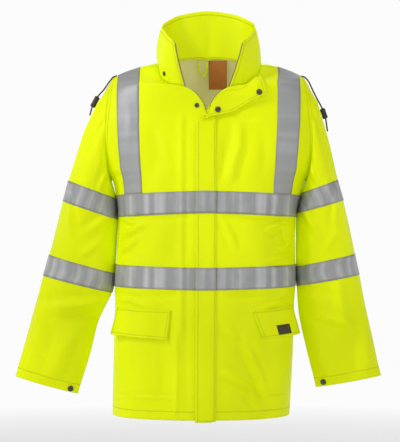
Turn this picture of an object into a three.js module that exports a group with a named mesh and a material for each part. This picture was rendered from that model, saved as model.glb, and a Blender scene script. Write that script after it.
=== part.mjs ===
// Hi-vis work jacket, filled out as it is worn, in millimetres with +Z up.
// The front faces -Y and +X is the wearer's left. The origin is the middle of the neck,
// at the height where the shoulders carry the jacket.
import * as THREE from "three";

// Driving sizes
const CLOTH = 1.6; // coated cloth
const COLLAR_CLOTH = 2.4; // two layers
const SEAM = 0.7; // space between two pieces at a seam
const ARMHOLE_DITCH = 0.35; // how far the sleeve draws back from the armhole
const COLLAR_DITCH = 1.3; // how far the collar draws back from the neckline
const SEAT = 0.35; // space under a piece that lies on another
const FLAP_CLOTH = 2; // two layers of a flap
const FLAP_STAND = 2.2; // how far the storm flap stands off the zip and the tapes under it
const TAPE = 1; // reflective tape
const ROUND = 2.5; // 2 is an ellipse, more is squarer
const ROW_DROOP = 1.4; // how late a row falls towards its side

// Turns a table's rows into objects keyed by its column names.
function table(columns, rows) {
  const names = columns.split(" ");
  return rows.map((row) => Object.fromEntries(names.map((name, i) => [name, row[i]])));
}

// One half of the front, a row for each level from the hem to the shoulder seam.
// inner is the zip and neck edge, outer the side seam and armhole, both as distances from
// the middle lines. The four last columns are the lines that flap, pocket and brace follow.
const ROW_COLUMNS =
  "row cells innerX innerY innerZ outerX outerY outerZ reach crown innerMid outerMid " +
  "flapX pocketX braceX braceEndX";
const FRONT_ROWS = table(ROW_COLUMNS, [
  ["hem", 1, 3, -136, -801, 203, 2, -800, 1, 0, -7, -18, 23, 82, 146, 184],
  ["turnUp", 3, 3, -138, -779, 204, 2, -778, 1, 0, -7, -17, 23, 82, 146, 185],
  ["flapBottom", 1, 3, -141, -621, 207, 2, -612, 1, 0, -7, -11, 23, 84, 146, 187],
  ["flapTop", 1, 3, -142, -558, 206, 2, -552, 1, 0, -7, -9, 23, 84, 146, 186],
  ["waistBottom", 1, 3, -142, -511, 205, 2, -506, 1, 0, -7, -8, 23, 84, 146, 185],
  ["waistTop", 2, 3, -142, -461, 204, 2, -456, 1, 0, -7, -7, 23, 84, 146, 184],
  ["chestBottom", 1, 3, -140, -340, 201, 2, -348, 1, 0, -7, -4, 23, 84, 147, 184],
  ["chestTop", 1, 3, -137, -290, 212, 2, -298, 1, 0, -7, -1, 23, 84, 147, 188],
  ["underarm", 1, 3, -134, -252, 222, 2, -262, 1, 0, -7, 0, 23, 84, 149, 193],
  ["sleeveFoot", 1, 3, -130, -222, 228, -42, -245, 0.98, 0, -7, 0, 23, 84, 151, 198],
  ["sleeveFront", 1, 3, -123, -182, 233, -66, -203, 0.92, 0, -7, 0, 23, 84, 153, 202],
  ["chest", 1, 3, -112, -140, 234, -73, -158, 0.87, 0, -6, 0, 23, 84, 155, 205],
  ["zipTop", 1, 4, -98, -104, 231, -64, -112, 0.82, 1, -4, 0, 26, 88, 156, 207],
  ["lapel", 1, 24, -92, -71, 228, -46, -80, 0.76, 3, -4, 0, 42, 95, 157, 208],
  ["neckFront", 2, 51, -86, -54, 226, -31, -58, 0.7, 6, -4, 0, 64, 106, 157, 209],
  ["neckCorner", 2, 82, -70, -49, 224, -17, -43, 0.6, 8, -2, 0, 90, 118, 157, 209],
  ["neckSide", 2, 108, -38, -31, 223, -8, -34, 0.5, 8, 0, 0, 113, 130, 158, 209],
  ["shoulder", 0, 119, 0, 3, 222, 3, -28, 0.3, 3, 2, 0, 124, 136, 159, 209],
]);
const BACK_ROWS = table(ROW_COLUMNS, [
  ["hem", 1, 0, 136, -800, 203, 2, -800, 1, 0, -16, -18, 30, 88, 144, 184],
  ["turnUp", 3, 0, 137, -778, 204, 2, -778, 1, 0, -15, -17, 30, 88, 144, 185],
  ["flapBottom", 1, 0, 139, -618, 207, 2, -612, 1, 0, -9, -11, 30, 88, 144, 187],
  ["flapTop", 1, 0, 138, -556, 206, 2, -552, 1, 0, -7, -9, 30, 88, 144, 186],
  ["waistBottom", 1, 0, 137, -509, 205, 2, -506, 1, 0, -6, -8, 30, 88, 144, 185],
  ["waistTop", 2, 0, 137, -459, 204, 2, -456, 1, 0, -5, -7, 30, 88, 144, 184],
  ["chestBottom", 1, 0, 142, -341, 201, 2, -348, 1, 0, -3, -4, 30, 88, 144, 184],
  ["chestTop", 1, 0, 145, -291, 212, 2, -298, 1, 0, -1, -1, 30, 88, 145, 188],
  ["underarm", 1, 0, 147, -254, 222, 2, -262, 1, 0, 0, 0, 30, 88, 147, 193],
  ["sleeveFoot", 1, 0, 148, -222, 228, 48, -245, 0.98, 0, 0, 0, 30, 88, 149, 198],
  ["sleeveFront", 1, 0, 146, -174, 233, 76, -203, 0.92, 0, 0, 0, 30, 88, 151, 202],
  ["chest", 1, 0, 140, -118, 234, 82, -158, 0.87, 0, 0, 0, 30, 88, 153, 205],
  ["zipTop", 1, 0, 126, -64, 231, 70, -112, 0.82, 3, 0, 0, 30, 88, 155, 207],
  ["lapel", 1, 0, 105, -16, 228, 50, -80, 0.76, 5, 0, 0, 32, 88, 156, 208],
  ["neckFront", 2, 0, 82, 28, 226, 33, -58, 0.7, 2, 0, 0, 34, 92, 157, 209],
  ["neckCorner", 2, 52, 74, 23, 224, 20, -43, 0.6, 6, 0, 0, 70, 108, 157, 209],
  ["neckSide", 2, 95, 44, 12, 223, 12, -34, 0.5, 7, 1, 0, 104, 126, 158, 209],
  ["shoulder", 0, 119, 0, 3, 222, 3, -28, 0.3, 3, 2, 0, 124, 136, 159, 209],
]);
// Cells across a half panel between its named lines
const ACROSS = table("from to cells", [
  ["innerX", "flapX", 1],
  ["flapX", "pocketX", 2],
  ["pocketX", "braceX", 2],
  ["braceX", "braceEndX", 2],
  ["braceEndX", "outerX", 3],
]);
const SIDES = table("name side", [
  ["right", -1],
  ["left", 1],
]);

// The largest folds of the body: soft ridges, or troughs where high is negative.
// lean is the angle from upright, and a fold lies on the front at -1 or the back at 1.
const FOLDS = table("face x z lean length width high", [
  [-1, -62, -660, 2, 150, 26, 5],
  [-1, -112, -690, -4, 110, 26, -5],
  [-1, 92, -690, 30, 120, 24, -6],
  [-1, 132, -700, 26, 110, 24, 5],
  [-1, -150, -400, -38, 70, 26, -5],
  [-1, 152, -396, 38, 70, 26, -6],
  [-1, 108, -420, 25, 60, 26, 4],
  [1, -70, -650, 3, 160, 32, 6],
  [1, -20, -600, -3, 170, 30, -6],
  [1, 62, -660, 6, 150, 32, 6],
  [1, 128, -640, 10, 130, 28, -5],
  [1, -128, -640, -8, 130, 28, -5],
  [1, -118, -400, 40, 90, 30, 6],
  [1, 118, -400, -40, 90, 30, 6],
]);
const FOLD_FADE = 70; // depth from the side seam over which a fold comes to its full height

// Sleeve sections below the armhole: where the outer and inner edges lie, as distances from
// the middle, and how deep the sleeve is there.
const SLEEVE_COLUMNS = "section outerX outerZ innerX innerZ middleY halfDepth";
const SLEEVES = {
  right: table(SLEEVE_COLUMNS, [
    ["head", 256, -85, 231, -268, 4, 82],
    ["upper", 289, -156, 227, -288, 5, 87],
    ["band1Top", 323, -264, 216, -305, 5, 85],
    ["band1Bottom", 336, -311, 210, -354, 4, 80],
    ["biceps", 352, -373, 213, -414, 2, 70],
    ["band2Top", 368, -434, 218, -477, -1, 60],
    ["band2Bottom", 381, -482, 224, -522, -4, 54],
    ["elbow", 400, -553, 250, -588, -8, 46],
    ["forearm", 420, -627, 270, -656, -12, 38],
    ["turnUp", 438, -691, 294, -731, -16, 29],
    ["cuff", 444, -713, 300, -753, -17, 26],
  ]),
  left: table(SLEEVE_COLUMNS, [
    ["head", 249, -80, 231, -268, 4, 82],
    ["upper", 269, -152, 227, -286, 5, 89],
    ["band1Top", 297, -262, 217, -293, 5, 92],
    ["band1Bottom", 310, -309, 206, -340, 4, 88],
    ["biceps", 325, -371, 205, -401, 2, 78],
    ["band2Top", 337, -432, 205, -461, -1, 66],
    ["band2Bottom", 347, -480, 206, -506, -4, 59],
    ["elbow", 361, -550, 209, -574, -8, 50],
    ["forearm", 377, -625, 224, -648, -12, 40],
    ["turnUp", 391, -689, 241, -716, -16, 30],
    ["cuff", 396, -711, 246, -738, -17, 26],
  ]),
};
// The largest folds of the sleeves. turn is degrees round from the outer edge over the front.
const SLEEVE_FOLDS = table("side section turn length width high", [
  [-1, 3, 55, 2.2, 26, 5],
  [-1, 4, 100, 2, 24, -5],
  [-1, 7, 150, 0.9, 40, -7],
  [-1, 8, 120, 1, 40, 5],
  [-1, 6, 250, 2.4, 26, -5],
  [1, 3, 50, 2.2, 26, 5],
  [1, 4, 95, 2.4, 24, -5],
  [1, 7, 100, 1.6, 30, 5],
  [1, 8, 60, 1.2, 40, -5],
  [1, 6, 250, 2.4, 26, -5],
]);
const RINGS_FROM_ARMHOLE = 4; // rings over which the armhole's spacing evens out

// The collar's top edge above each level of the neckline, as a distance from the middle
const COLLAR_TOP = table("over topX topY topZ bulge", [
  ["frontNeck", 79, -86, 46, 3],
  ["frontCorner", 94, -64, 64, 5],
  ["frontSide", 104, -34, 79, 6],
  ["shoulder", 107, 0, 94, 6],
  ["backSide", 97, 43, 110, 4],
  ["backCorner", 62, 75, 129, 3],
  ["backNeck", 0, 90, 139, 2],
]);
const COLLAR_CELLS_UP = 4;

// Colours from the photograph
const YELLOW = { color: 0xe6f200, roughness: 0.62, metalness: 0 };
const YELLOW_SHADE = { color: 0xd6e400, roughness: 0.66, metalness: 0 };
const TAPE_GREY = { color: 0x8a8478, roughness: 0.7, metalness: 0 };
const STEEL = { color: 0x6a6a68, roughness: 0.35, metalness: 0.9 };
const DARK = { color: 0x2c2a22, roughness: 0.7, metalness: 0 };
const DARK_CLOTH = { color: 0x4a4428, roughness: 0.8, metalness: 0 };
const LABEL_CLOTH = { color: 0x9a5a2a, roughness: 0.7, metalness: 0 };
const SILVER = { color: 0xa4a8a0, roughness: 0.45, metalness: 0.2 };

const jacket = new THREE.Group();

function addMesh(name, geometry, look) {
  const mesh = new THREE.Mesh(geometry, new THREE.MeshStandardMaterial(look));
  mesh.name = name;
  jacket.add(mesh);
  return mesh;
}

// Reads every number of a table at a place between two rows, on a smooth curve.
function readTable(rows, place) {
  const start = Math.min(Math.floor(place), rows.length - 2);
  const t = place - start;
  const around = [start - 1, start, start + 1, start + 2];
  const [before, from, to, after] = around.map(
    (i) => rows[THREE.MathUtils.clamp(i, 0, rows.length - 1)],
  );
  const read = {};
  for (const name of Object.keys(from)) {
    if (typeof from[name] !== "number") continue;
    const leave = (to[name] - before[name]) / 2;
    const arrive = (after[name] - from[name]) / 2;
    const rise = to[name] - from[name];
    const square = 3 * rise - 2 * leave - arrive;
    const cube = leave + arrive - 2 * rise;
    read[name] = from[name] + t * (leave + t * (square + t * cube));
  }
  return read;
}

// The places in a table of rows, with each row's own number of cells up to the next one.
function placesOf(rows) {
  const places = [];
  rows.forEach((row, i) => {
    for (let k = 0; k < row.cells; k++) places.push(i + k / row.cells);
  });
  return [...places, rows.length - 1];
}

const PLACES = placesOf(FRONT_ROWS);
const rowNamed = (name) => PLACES.indexOf(FRONT_ROWS.findIndex((row) => row.row === name));

// A point of a half panel: level is a place in the table, share is how far across it lies.
function panelPoint(rows, side, level, share) {
  const row = readTable(rows, level);
  const arc = (x) => 1 - (1 - x ** ROUND) ** (1 / ROUND);
  const reach = Math.min(row.reach, 1);
  const x = THREE.MathUtils.lerp(row.innerX, row.outerX, share);
  const middle = THREE.MathUtils.lerp(row.innerMid, row.outerMid, share);
  const depth = arc(reach * share) / arc(reach);
  return new THREE.Vector3(
    middle + side * x,
    THREE.MathUtils.lerp(row.innerY, row.outerY, depth),
    THREE.MathUtils.lerp(row.innerZ, row.outerZ, share ** ROW_DROOP) + row.crown * 4 * share * (1 - share),
  );
}

// The shares across a half panel at which its columns lie. Past the brace they crowd
// towards the side, where the panel turns.
function sharesAt(rows, level) {
  const row = readTable(rows, level);
  const shares = [];
  for (const step of ACROSS) {
    for (let k = 0; k < step.cells; k++) {
      const last = step.to === "outerX";
      const t = last ? Math.sin((k / step.cells) * (Math.PI / 2)) : k / step.cells;
      const x = THREE.MathUtils.lerp(row[step.from], row[step.to], t);
      shares.push((x - row.innerX) / (row.outerX - row.innerX));
    }
  }
  return [...shares, 1];
}

const columnNamed = (name) => {
  let column = 0;
  for (const step of ACROSS) {
    if (step.from === name) return column;
    column += step.cells;
  }
  return column;
};

// Moves a body point in or out by the folds that pass it.
function addFolds(point) {
  const out = new THREE.Vector3(point.x, point.y, 0).normalize();
  let high = 0;
  for (const fold of FOLDS) {
    if (Math.sign(point.y) !== fold.face) continue;
    const lean = THREE.MathUtils.degToRad(fold.lean);
    const [dx, dz] = [point.x - fold.x, point.z - fold.z];
    const along = dx * Math.sin(lean) - dz * Math.cos(lean);
    const across = dx * Math.cos(lean) + dz * Math.sin(lean);
    high += fold.high * Math.exp(-((along / fold.length) ** 2) - (across / fold.width) ** 2);
  }
  return point.addScaledVector(out, high * Math.min(Math.abs(point.y) / FOLD_FADE, 1));
}

function panelGrid(rows, side) {
  return PLACES.map((level) =>
    sharesAt(rows, level).map((share) => addFolds(panelPoint(rows, side, level, share))),
  );
}

// The four half panels, and the normals that pieces meeting at a seam share
const grids = {};
for (const { name, side } of SIDES) {
  grids[`front_${name}`] = panelGrid(FRONT_ROWS, side);
  grids[`back_${name}`] = panelGrid(BACK_ROWS, side);
}

const keyOf = (p) => `${Math.round(p.x * 1000)},${Math.round(p.y * 1000)},${Math.round(p.z * 1000)}`;

// The two triangles of each cell of a grid, turned so that they face out.
function trianglesOf(grid, turned) {
  const triangles = [];
  for (let i = 0; i + 1 < grid.length; i++) {
    for (let j = 0; j + 1 < grid[i].length; j++) {
      const [a, b] = [grid[i][j], grid[i][j + 1]];
      const [d, c] = [grid[i + 1][j], grid[i + 1][j + 1]];
      triangles.push([a, b, c], [a, c, d]);
    }
  }
  return turned ? triangles.map(([a, b, c]) => [a, c, b]) : triangles;
}

const sharedNormals = new Map();

function faceNormal([a, b, c]) {
  return new THREE.Vector3().crossVectors(b.clone().sub(a), c.clone().sub(a)).normalize();
}

// Adds each triangle's normal to its corners, weighed by the angle there.
function shareNormals(triangles) {
  for (const triangle of triangles) {
    const normal = faceNormal(triangle);
    triangle.forEach((p, i) => {
      const toNext = triangle[(i + 1) % 3].clone().sub(p);
      const toLast = triangle[(i + 2) % 3].clone().sub(p);
      const key = keyOf(p);
      if (!sharedNormals.has(key)) sharedNormals.set(key, new THREE.Vector3());
      sharedNormals.get(key).addScaledVector(normal, toNext.angleTo(toLast));
    });
  }
}

const normalAt = (p) => sharedNormals.get(keyOf(p)).clone().normalize();

// A closed wall from the triangles of a surface: bottom and top say how far its two faces
// lie from that surface. Its edges draw back by half a seam, or by the distance given.
function wall(triangles, bottom, top, back = SEAM / 2) {
  const points = new Map();
  for (const p of triangles.flat()) {
    if (!points.has(keyOf(p))) points.set(keyOf(p), { p, inward: new THREE.Vector3() });
  }
  const edges = new Map();
  for (const triangle of triangles) {
    triangle.forEach((a, i) => {
      const b = triangle[(i + 1) % 3];
      edges.set(`${keyOf(a)}|${keyOf(b)}`, [a, b, triangle[(i + 2) % 3]]);
    });
  }
  const rim = [...edges.values()].filter(([a, b]) => !edges.has(`${keyOf(b)}|${keyOf(a)}`));
  for (const [a, b, c] of rim) {
    const along = b.clone().sub(a).normalize();
    const inward = c.clone().sub(a);
    inward.addScaledVector(along, -inward.dot(along)).normalize();
    for (const end of [a, b]) points.get(keyOf(end)).inward.add(inward);
  }
  const place = (p, height) => {
    const { inward } = points.get(keyOf(p));
    const drawn = inward.lengthSq() > 0 ? inward.clone().normalize().multiplyScalar(back) : inward;
    const lift = typeof height === "function" ? height(p) : height;
    return p.clone().add(drawn).addScaledVector(normalAt(p), lift);
  };
  const faces = [];
  for (const [a, b, c] of triangles) {
    faces.push([place(a, top), place(b, top), place(c, top)]);
    faces.push([place(a, bottom), place(c, bottom), place(b, bottom)]);
  }
  for (const [a, b] of rim) {
    const [aTop, bTop] = [place(a, top), place(b, top)];
    const [aBottom, bBottom] = [place(a, bottom), place(b, bottom)];
    faces.push([bTop, aTop, aBottom], [bTop, aBottom, bBottom]);
  }
  return new THREE.BufferGeometry().setFromPoints(faces.flat());
}

// The armhole as a closed ring of panel points: from the shoulder down the front to the
// underarm, and up the back.
function armhole(name) {
  const last = PLACES.length - 1;
  const underarm = rowNamed("underarm");
  const edge = (grid) => grid.slice(underarm, last + 1).map((row) => row[row.length - 1]);
  const front = edge(grids[`front_${name}`]).reverse();
  const back = edge(grids[`back_${name}`]);
  return [...front, ...back.slice(1)];
}

// How far the folds of a sleeve move its cloth out at a section and a turn round it.
function sleeveFold(side, section, turn) {
  let high = 0;
  for (const fold of SLEEVE_FOLDS) {
    if (fold.side !== side) continue;
    const along = (section - fold.section) / fold.length;
    const across = (THREE.MathUtils.radToDeg(turn) - fold.turn) / fold.width;
    high += fold.high * Math.exp(-(along ** 2) - across ** 2);
  }
  return high;
}

function sleeveGrid(name, side) {
  const ring = armhole(name);
  const cells = ring.length - 1;
  const top = ring[0];
  const foot = ring[cells / 2];
  const middle = top.clone().lerp(foot, 0.5);
  const half = top.clone().sub(middle);
  const turnOf = (p) => {
    const from = p.clone().sub(middle);
    return Math.atan2(-from.y / half.length(), from.dot(half) / half.lengthSq());
  };
  const rows = SLEEVES[name].map((section, index) => {
    const even = Math.min((index + 1) / RINGS_FROM_ARMHOLE, 1);
    const outer = new THREE.Vector3(side * section.outerX, section.middleY, section.outerZ);
    const inner = new THREE.Vector3(side * section.innerX, section.middleY, section.innerZ);
    const centre = outer.clone().lerp(inner, 0.5);
    const reach = outer.clone().sub(centre);
    return ring.map((p, k) => {
      const own = k === 0 ? 0 : (turnOf(p) + 2 * Math.PI) % (2 * Math.PI);
      const turn = THREE.MathUtils.lerp(own, (2 * Math.PI * k) / cells, even);
      const point = centre.clone().addScaledVector(reach, Math.cos(turn));
      point.y -= section.halfDepth * Math.sin(turn);
      const out = point.clone().sub(centre).normalize();
      return point.addScaledVector(out, sleeveFold(side, index, turn));
    });
  });
  rows.forEach((row) => (row[cells] = row[0].clone()));
  return [ring, ...rows];
}

for (const { name, side } of SIDES) grids[`sleeve_${name}`] = sleeveGrid(name, side);

// The neckline as the row of panel points that the collar is sewn to, from the right zip
// edge round the back to the left one.
function neckline() {
  const from = rowNamed("neckFront");
  const edge = (name) => grids[name].slice(from).map((row) => row[0]);
  const right = [...edge("front_right"), ...edge("back_right").reverse().slice(1)];
  const left = [...edge("front_left"), ...edge("back_left").reverse().slice(1)];
  return [...right, ...left.reverse().slice(1)];
}

function collarGrid() {
  const base = neckline();
  const half = (base.length - 1) / 2;
  const rows = [];
  for (let up = 0; up <= COLLAR_CELLS_UP; up++) {
    const height = up / COLLAR_CELLS_UP;
    rows.push(
      base.map((p, k) => {
        const side = Math.sign(k - half);
        const place = ((half - Math.abs(k - half)) / half) * (COLLAR_TOP.length - 1);
        const top = readTable(COLLAR_TOP, place);
        const end = new THREE.Vector3(side * top.topX, top.topY, top.topZ);
        const point = p.clone().lerp(end, height);
        const out = new THREE.Vector3(end.x, end.y, 0).normalize();
        return point.addScaledVector(out, top.bulge * 4 * height * (1 - height));
      }),
    );
  }
  return rows;
}
grids.collar = collarGrid();

const turnedGrids = new Set(["front_right", "back_left", "sleeve_right", "collar"]);
const surface = {};
for (const [name, grid] of Object.entries(grids)) {
  surface[name] = trianglesOf(grid, turnedGrids.has(name));
  shareNormals(surface[name]);
}

for (const { name } of SIDES) {
  addMesh(`front_${name}`, wall(surface[`front_${name}`], -CLOTH, 0), YELLOW);
  const sleeve = wall(surface[`sleeve_${name}`], -CLOTH, 0, ARMHOLE_DITCH);
  addMesh(`sleeve_${name}`, sleeve, YELLOW_SHADE);
}
addMesh("back", wall([...surface.back_right, ...surface.back_left], -CLOTH, 0), YELLOW);
addMesh("collar", wall(surface.collar, -COLLAR_CLOTH, 0, COLLAR_DITCH), YELLOW);

// Part of a panel's grid between two named rows and two columns
function partOf(name, fromRow, toRow, fromColumn = 0, toColumn = Infinity) {
  const rows = grids[name].slice(rowNamed(fromRow), rowNamed(toRow) + 1);
  return rows.map((row) => row.slice(fromColumn, toColumn + 1));
}

function addTape(name, triangles, rise = 0) {
  const bottom = typeof rise === "function" ? (p) => rise(p) + SEAT : rise + SEAT;
  const top = typeof rise === "function" ? (p) => rise(p) + SEAT + TAPE : rise + SEAT + TAPE;
  addMesh(name, wall(triangles, bottom, top), SILVER);
}

// Storm flap: stitched to the left front, its free edge over the right front
const FLAP_COLUMN = columnNamed("flapX");
function flapGrid(fromRow, toRow) {
  const right = partOf("front_right", fromRow, toRow, 0, FLAP_COLUMN);
  const left = partOf("front_left", fromRow, toRow, 0, FLAP_COLUMN);
  return right.map((row, i) => [...row].reverse().concat(left[i]));
}
const stitched = new Set(partOf("front_left", "hem", "lapel", FLAP_COLUMN, FLAP_COLUMN).flat().map(keyOf));
const flapRise = (p) => (stitched.has(keyOf(p)) ? SEAT : FLAP_STAND);
const flapTriangles = trianglesOf(flapGrid("hem", "zipTop"), false);
const flapTop = (p) => flapRise(p) + FLAP_CLOTH;
addMesh("storm_flap", wall(flapTriangles, flapRise, flapTop), YELLOW);

// Reflective bands round the body, in pieces from seam to seam and one over the flap
for (const [band, from, to] of [
  ["chest_band", "chestBottom", "chestTop"],
  ["waist_band", "waistBottom", "waistTop"],
]) {
  addTape(`${band}_front_right`, trianglesOf(partOf("front_right", from, to), true));
  addTape(`${band}_front_left`, trianglesOf(partOf("front_left", from, to, FLAP_COLUMN), false));
  const backHalves = [
    ...trianglesOf(partOf("back_right", from, to), false),
    ...trianglesOf(partOf("back_left", from, to), true),
  ];
  addTape(`${band}_back`, backHalves);
  addTape(`${band}_flap`, trianglesOf(flapGrid(from, to), false), flapTop);
}

// Reflective braces from the chest band over the shoulder to the chest band behind
const BRACE = [columnNamed("braceX"), columnNamed("braceEndX")];
for (const { name, side } of SIDES) {
  const front = partOf(`front_${name}`, "chestTop", "shoulder", ...BRACE);
  const back = partOf(`back_${name}`, "chestTop", "shoulder", ...BRACE);
  addTape(`brace_${name}`, [...trianglesOf(front, side < 0), ...trianglesOf(back, side > 0)]);
}

// Reflective bands round the sleeves
for (const { name, side } of SIDES) {
  for (const band of [1, 2]) {
    const top = SLEEVES[name].findIndex((section) => section.section === `band${band}Top`) + 1;
    const rows = grids[`sleeve_${name}`].slice(top, top + 2);
    addTape(`sleeve_band_${band}_${name}`, trianglesOf(rows, side < 0));
  }
}

const EDGE_ON = 1e-6; // seen area below which a triangle stands edge-on, in square millimetres

// The depth and outward direction of the foremost of some triangles at a place seen from
// the front, or of the rearmost at one seen from behind.
function depthAt(triangles, x, z, fromBehind = false) {
  let found = null;
  for (const [a, b, c] of triangles) {
    const area = (b.x - a.x) * (c.z - a.z) - (c.x - a.x) * (b.z - a.z);
    if (Math.abs(area) < EDGE_ON) continue;
    const v = ((x - a.x) * (c.z - a.z) - (c.x - a.x) * (z - a.z)) / area;
    const w = ((b.x - a.x) * (z - a.z) - (x - a.x) * (b.z - a.z)) / area;
    if (v < 0 || w < 0 || v + w > 1) continue;
    const y = a.y + v * (b.y - a.y) + w * (c.y - a.y);
    if (found && (fromBehind ? y < found.point.y : y > found.point.y)) continue;
    found = { point: new THREE.Vector3(x, y, z), normal: faceNormal([a, b, c]) };
  }
  if (!found) throw new Error(`no cloth at ${x}, ${z}`);
  return found;
}

// A grid laid on some cloth: each row of places runs between two ends in x and z.
function laidGrid(cloth, ends, cellsAcross, fromBehind = false) {
  return ends.map((end) => {
    const row = [];
    for (let k = 0; k <= cellsAcross; k++) {
      const t = k / cellsAcross;
      const x = THREE.MathUtils.lerp(end.x, end.toX, t);
      const z = THREE.MathUtils.lerp(end.z, end.toZ, t);
      row.push(depthAt(cloth, x, z, fromBehind).point);
    }
    return row;
  });
}

// Rows between the rows of a table of ends
function endsBetween(rows, cells) {
  const ends = [];
  for (let i = 0; i <= cells; i++) ends.push(readTable(rows, (i / cells) * (rows.length - 1)));
  return ends;
}

// Chin flap: the upper end of the storm flap, turned out over the left front
const CHIN_FLAP = table("x z toX toZ rise", [
  [-3, -106, -20, -131, 5],
  [22, -73, 8, -125, 5.2],
  [42, -60, 36, -119, 4.4],
  [64, -57, 59, -111, 3.4],
  [88, -50, 86, -94, 4.5],
  [106, -38, 110, -81, 7],
  [117, -31, 131, -74, 7],
]);
const chinEnds = endsBetween(CHIN_FLAP, 10);
const chinGrid = laidGrid([...surface.front_left, ...flapTriangles], chinEnds, 4);
const chinTriangles = trianglesOf(chinGrid, false);
shareNormals(chinTriangles);
const chinRise = new Map();
chinGrid.forEach((row, i) => row.forEach((p) => chinRise.set(keyOf(p), chinEnds[i].rise)));
const chinBottom = (p) => chinRise.get(keyOf(p));
addMesh("chin_flap", wall(chinTriangles, chinBottom, (p) => chinBottom(p) + FLAP_CLOTH), YELLOW);

// Pocket flaps: sewn along their top edges, hanging free below and round to the sides
const POCKET_FLAP = "x z toX toZ";
const POCKET_FLAPS = {
  right: table(POCKET_FLAP, [
    [-84, -556, -206, -552],
    [-88, -590, -207, -584],
    [-91, -622, -208, -614],
  ]),
  left: table(POCKET_FLAP, [
    [96, -557, 189, -549],
    [108, -590, 191, -582],
    [119, -621, 193, -613],
  ]),
};
const POCKET_RISE = { top: 2.4, bottom: 6, outerCorner: 16 };
const POCKET_CELLS = 6;
const pocketTriangles = {};
for (const { name, side } of SIDES) {
  const grid = laidGrid(surface[`front_${name}`], endsBetween(POCKET_FLAPS[name], 2), POCKET_CELLS);
  pocketTriangles[name] = trianglesOf(grid, side > 0);
  shareNormals(pocketTriangles[name]);
  const rise = new Map();
  grid.forEach((row, i) =>
    row.forEach((p, j) => {
      const hang = i / (grid.length - 1);
      const low = THREE.MathUtils.lerp(POCKET_RISE.bottom, POCKET_RISE.outerCorner, (j / POCKET_CELLS) ** 2);
      rise.set(keyOf(p), THREE.MathUtils.lerp(POCKET_RISE.top, low, hang));
    }),
  );
  const bottom = (p) => rise.get(keyOf(p));
  const top = (p) => bottom(p) + FLAP_CLOTH;
  addMesh(`pocket_flap_${name}`, wall(pocketTriangles[name], bottom, top), YELLOW);
  grids[`pocket_${name}`] = grid.map((row) => row.map((p) => p.clone().addScaledVector(normalAt(p), top(p))));
}

// Hood: lies down behind the shoulders, its two front corners just over the shoulder tips.
// Rows go down from the edge behind the shoulders; stand is how far it bellies off the back.
const HOOD = table("down halfWidth stand", [
  [0, 213, 6.6],
  [0.18, 210, 14],
  [0.45, 194, 25],
  [0.75, 160, 23],
  [1, 112, 4],
]);
const HOOD_TOP = { middle: 10, tip: -25.5 };
const HOOD_FOOT = { middle: -318, side: -262 };
const HOOD_CURVE = { top: 1.4, foot: 2, stand: 4 }; // how late each falls towards the tips
const HOOD_CELLS = { across: 12, down: 7 };
function hoodGrid() {
  const cloth = [...surface.back_right, ...surface.back_left];
  const grid = [];
  for (let i = 0; i <= HOOD_CELLS.down; i++) {
    const down = i / HOOD_CELLS.down;
    const row = readTable(HOOD, down * (HOOD.length - 1));
    grid.push([]);
    for (let j = 0; j <= HOOD_CELLS.across; j++) {
      const across = (2 * j) / HOOD_CELLS.across - 1;
      const x = across * row.halfWidth;
      const out = Math.abs(across);
      const top = THREE.MathUtils.lerp(HOOD_TOP.middle, HOOD_TOP.tip, out ** HOOD_CURVE.top);
      const foot = THREE.MathUtils.lerp(HOOD_FOOT.middle, HOOD_FOOT.side, out ** HOOD_CURVE.foot);
      const { point, normal } = depthAt(cloth, x, THREE.MathUtils.lerp(top, foot, row.down), true);
      const stand = THREE.MathUtils.lerp(row.stand, HOOD[0].stand, out ** HOOD_CURVE.stand);
      grid[i].push(point.addScaledVector(normal, stand));
    }
  }
  return grid;
}
const hoodTriangles = trianglesOf(hoodGrid(), false);
shareNormals(hoodTriangles);
addMesh("hood", wall(hoodTriangles, 0, CLOTH), YELLOW);

// Zip tapes: one behind each front edge, teeth past the edge, and on up the collar's edge
const ZIP = { teeth: 2.6, tapeShare: 0.6, cloth: 1, seat: 0.9, cornerSeat: 4 };
for (const { name, side } of SIDES) {
  const front = grids[`front_${name}`].slice(0, rowNamed("neckFront") + 1);
  const edge = side < 0 ? 0 : grids.collar[0].length - 1;
  const collar = grids.collar.slice(1).map((row) => [row[edge], row[edge - side]]);
  const grid = [...front, ...collar].map(([at, beside], i) => {
    const behind = i < front.length - 1 ? CLOTH : COLLAR_CLOTH;
    const seat = Math.abs(i - front.length + 0.5) < 2 ? ZIP.cornerSeat : ZIP.seat;
    const [from, to] = [at, beside].map((p) => p.clone().addScaledVector(normalAt(p), -behind - seat));
    const beyond = from.clone().sub(to).setLength(ZIP.teeth).add(from);
    return [beyond, from, from.clone().lerp(to, ZIP.tapeShare)];
  });
  const triangles = trianglesOf(grid, side < 0);
  shareNormals(triangles);
  addMesh(`zip_${name}`, wall(triangles, -ZIP.cloth, 0), TAPE_GREY);
}

// Press studs: a domed cap on a rim, turned on its axis, standing on some cloth
const STUD = { cap: 6.8, small: 5.4, high: 2.6, seat: 0.35, sides: 12 };
const STUD_RISE = { cloth: 0.5, chinInner: 5.6 + FLAP_CLOTH, chinOuter: 7.4 + FLAP_CLOTH };
// From the seat to the dished middle, as shares of the radius and of the height
const STUD_PROFILE = [
  [0, 0],
  [1, 0],
  [1, 0.45],
  [0.72, 1],
  [0.35, 0.7],
  [0, 0.7],
];
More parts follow.
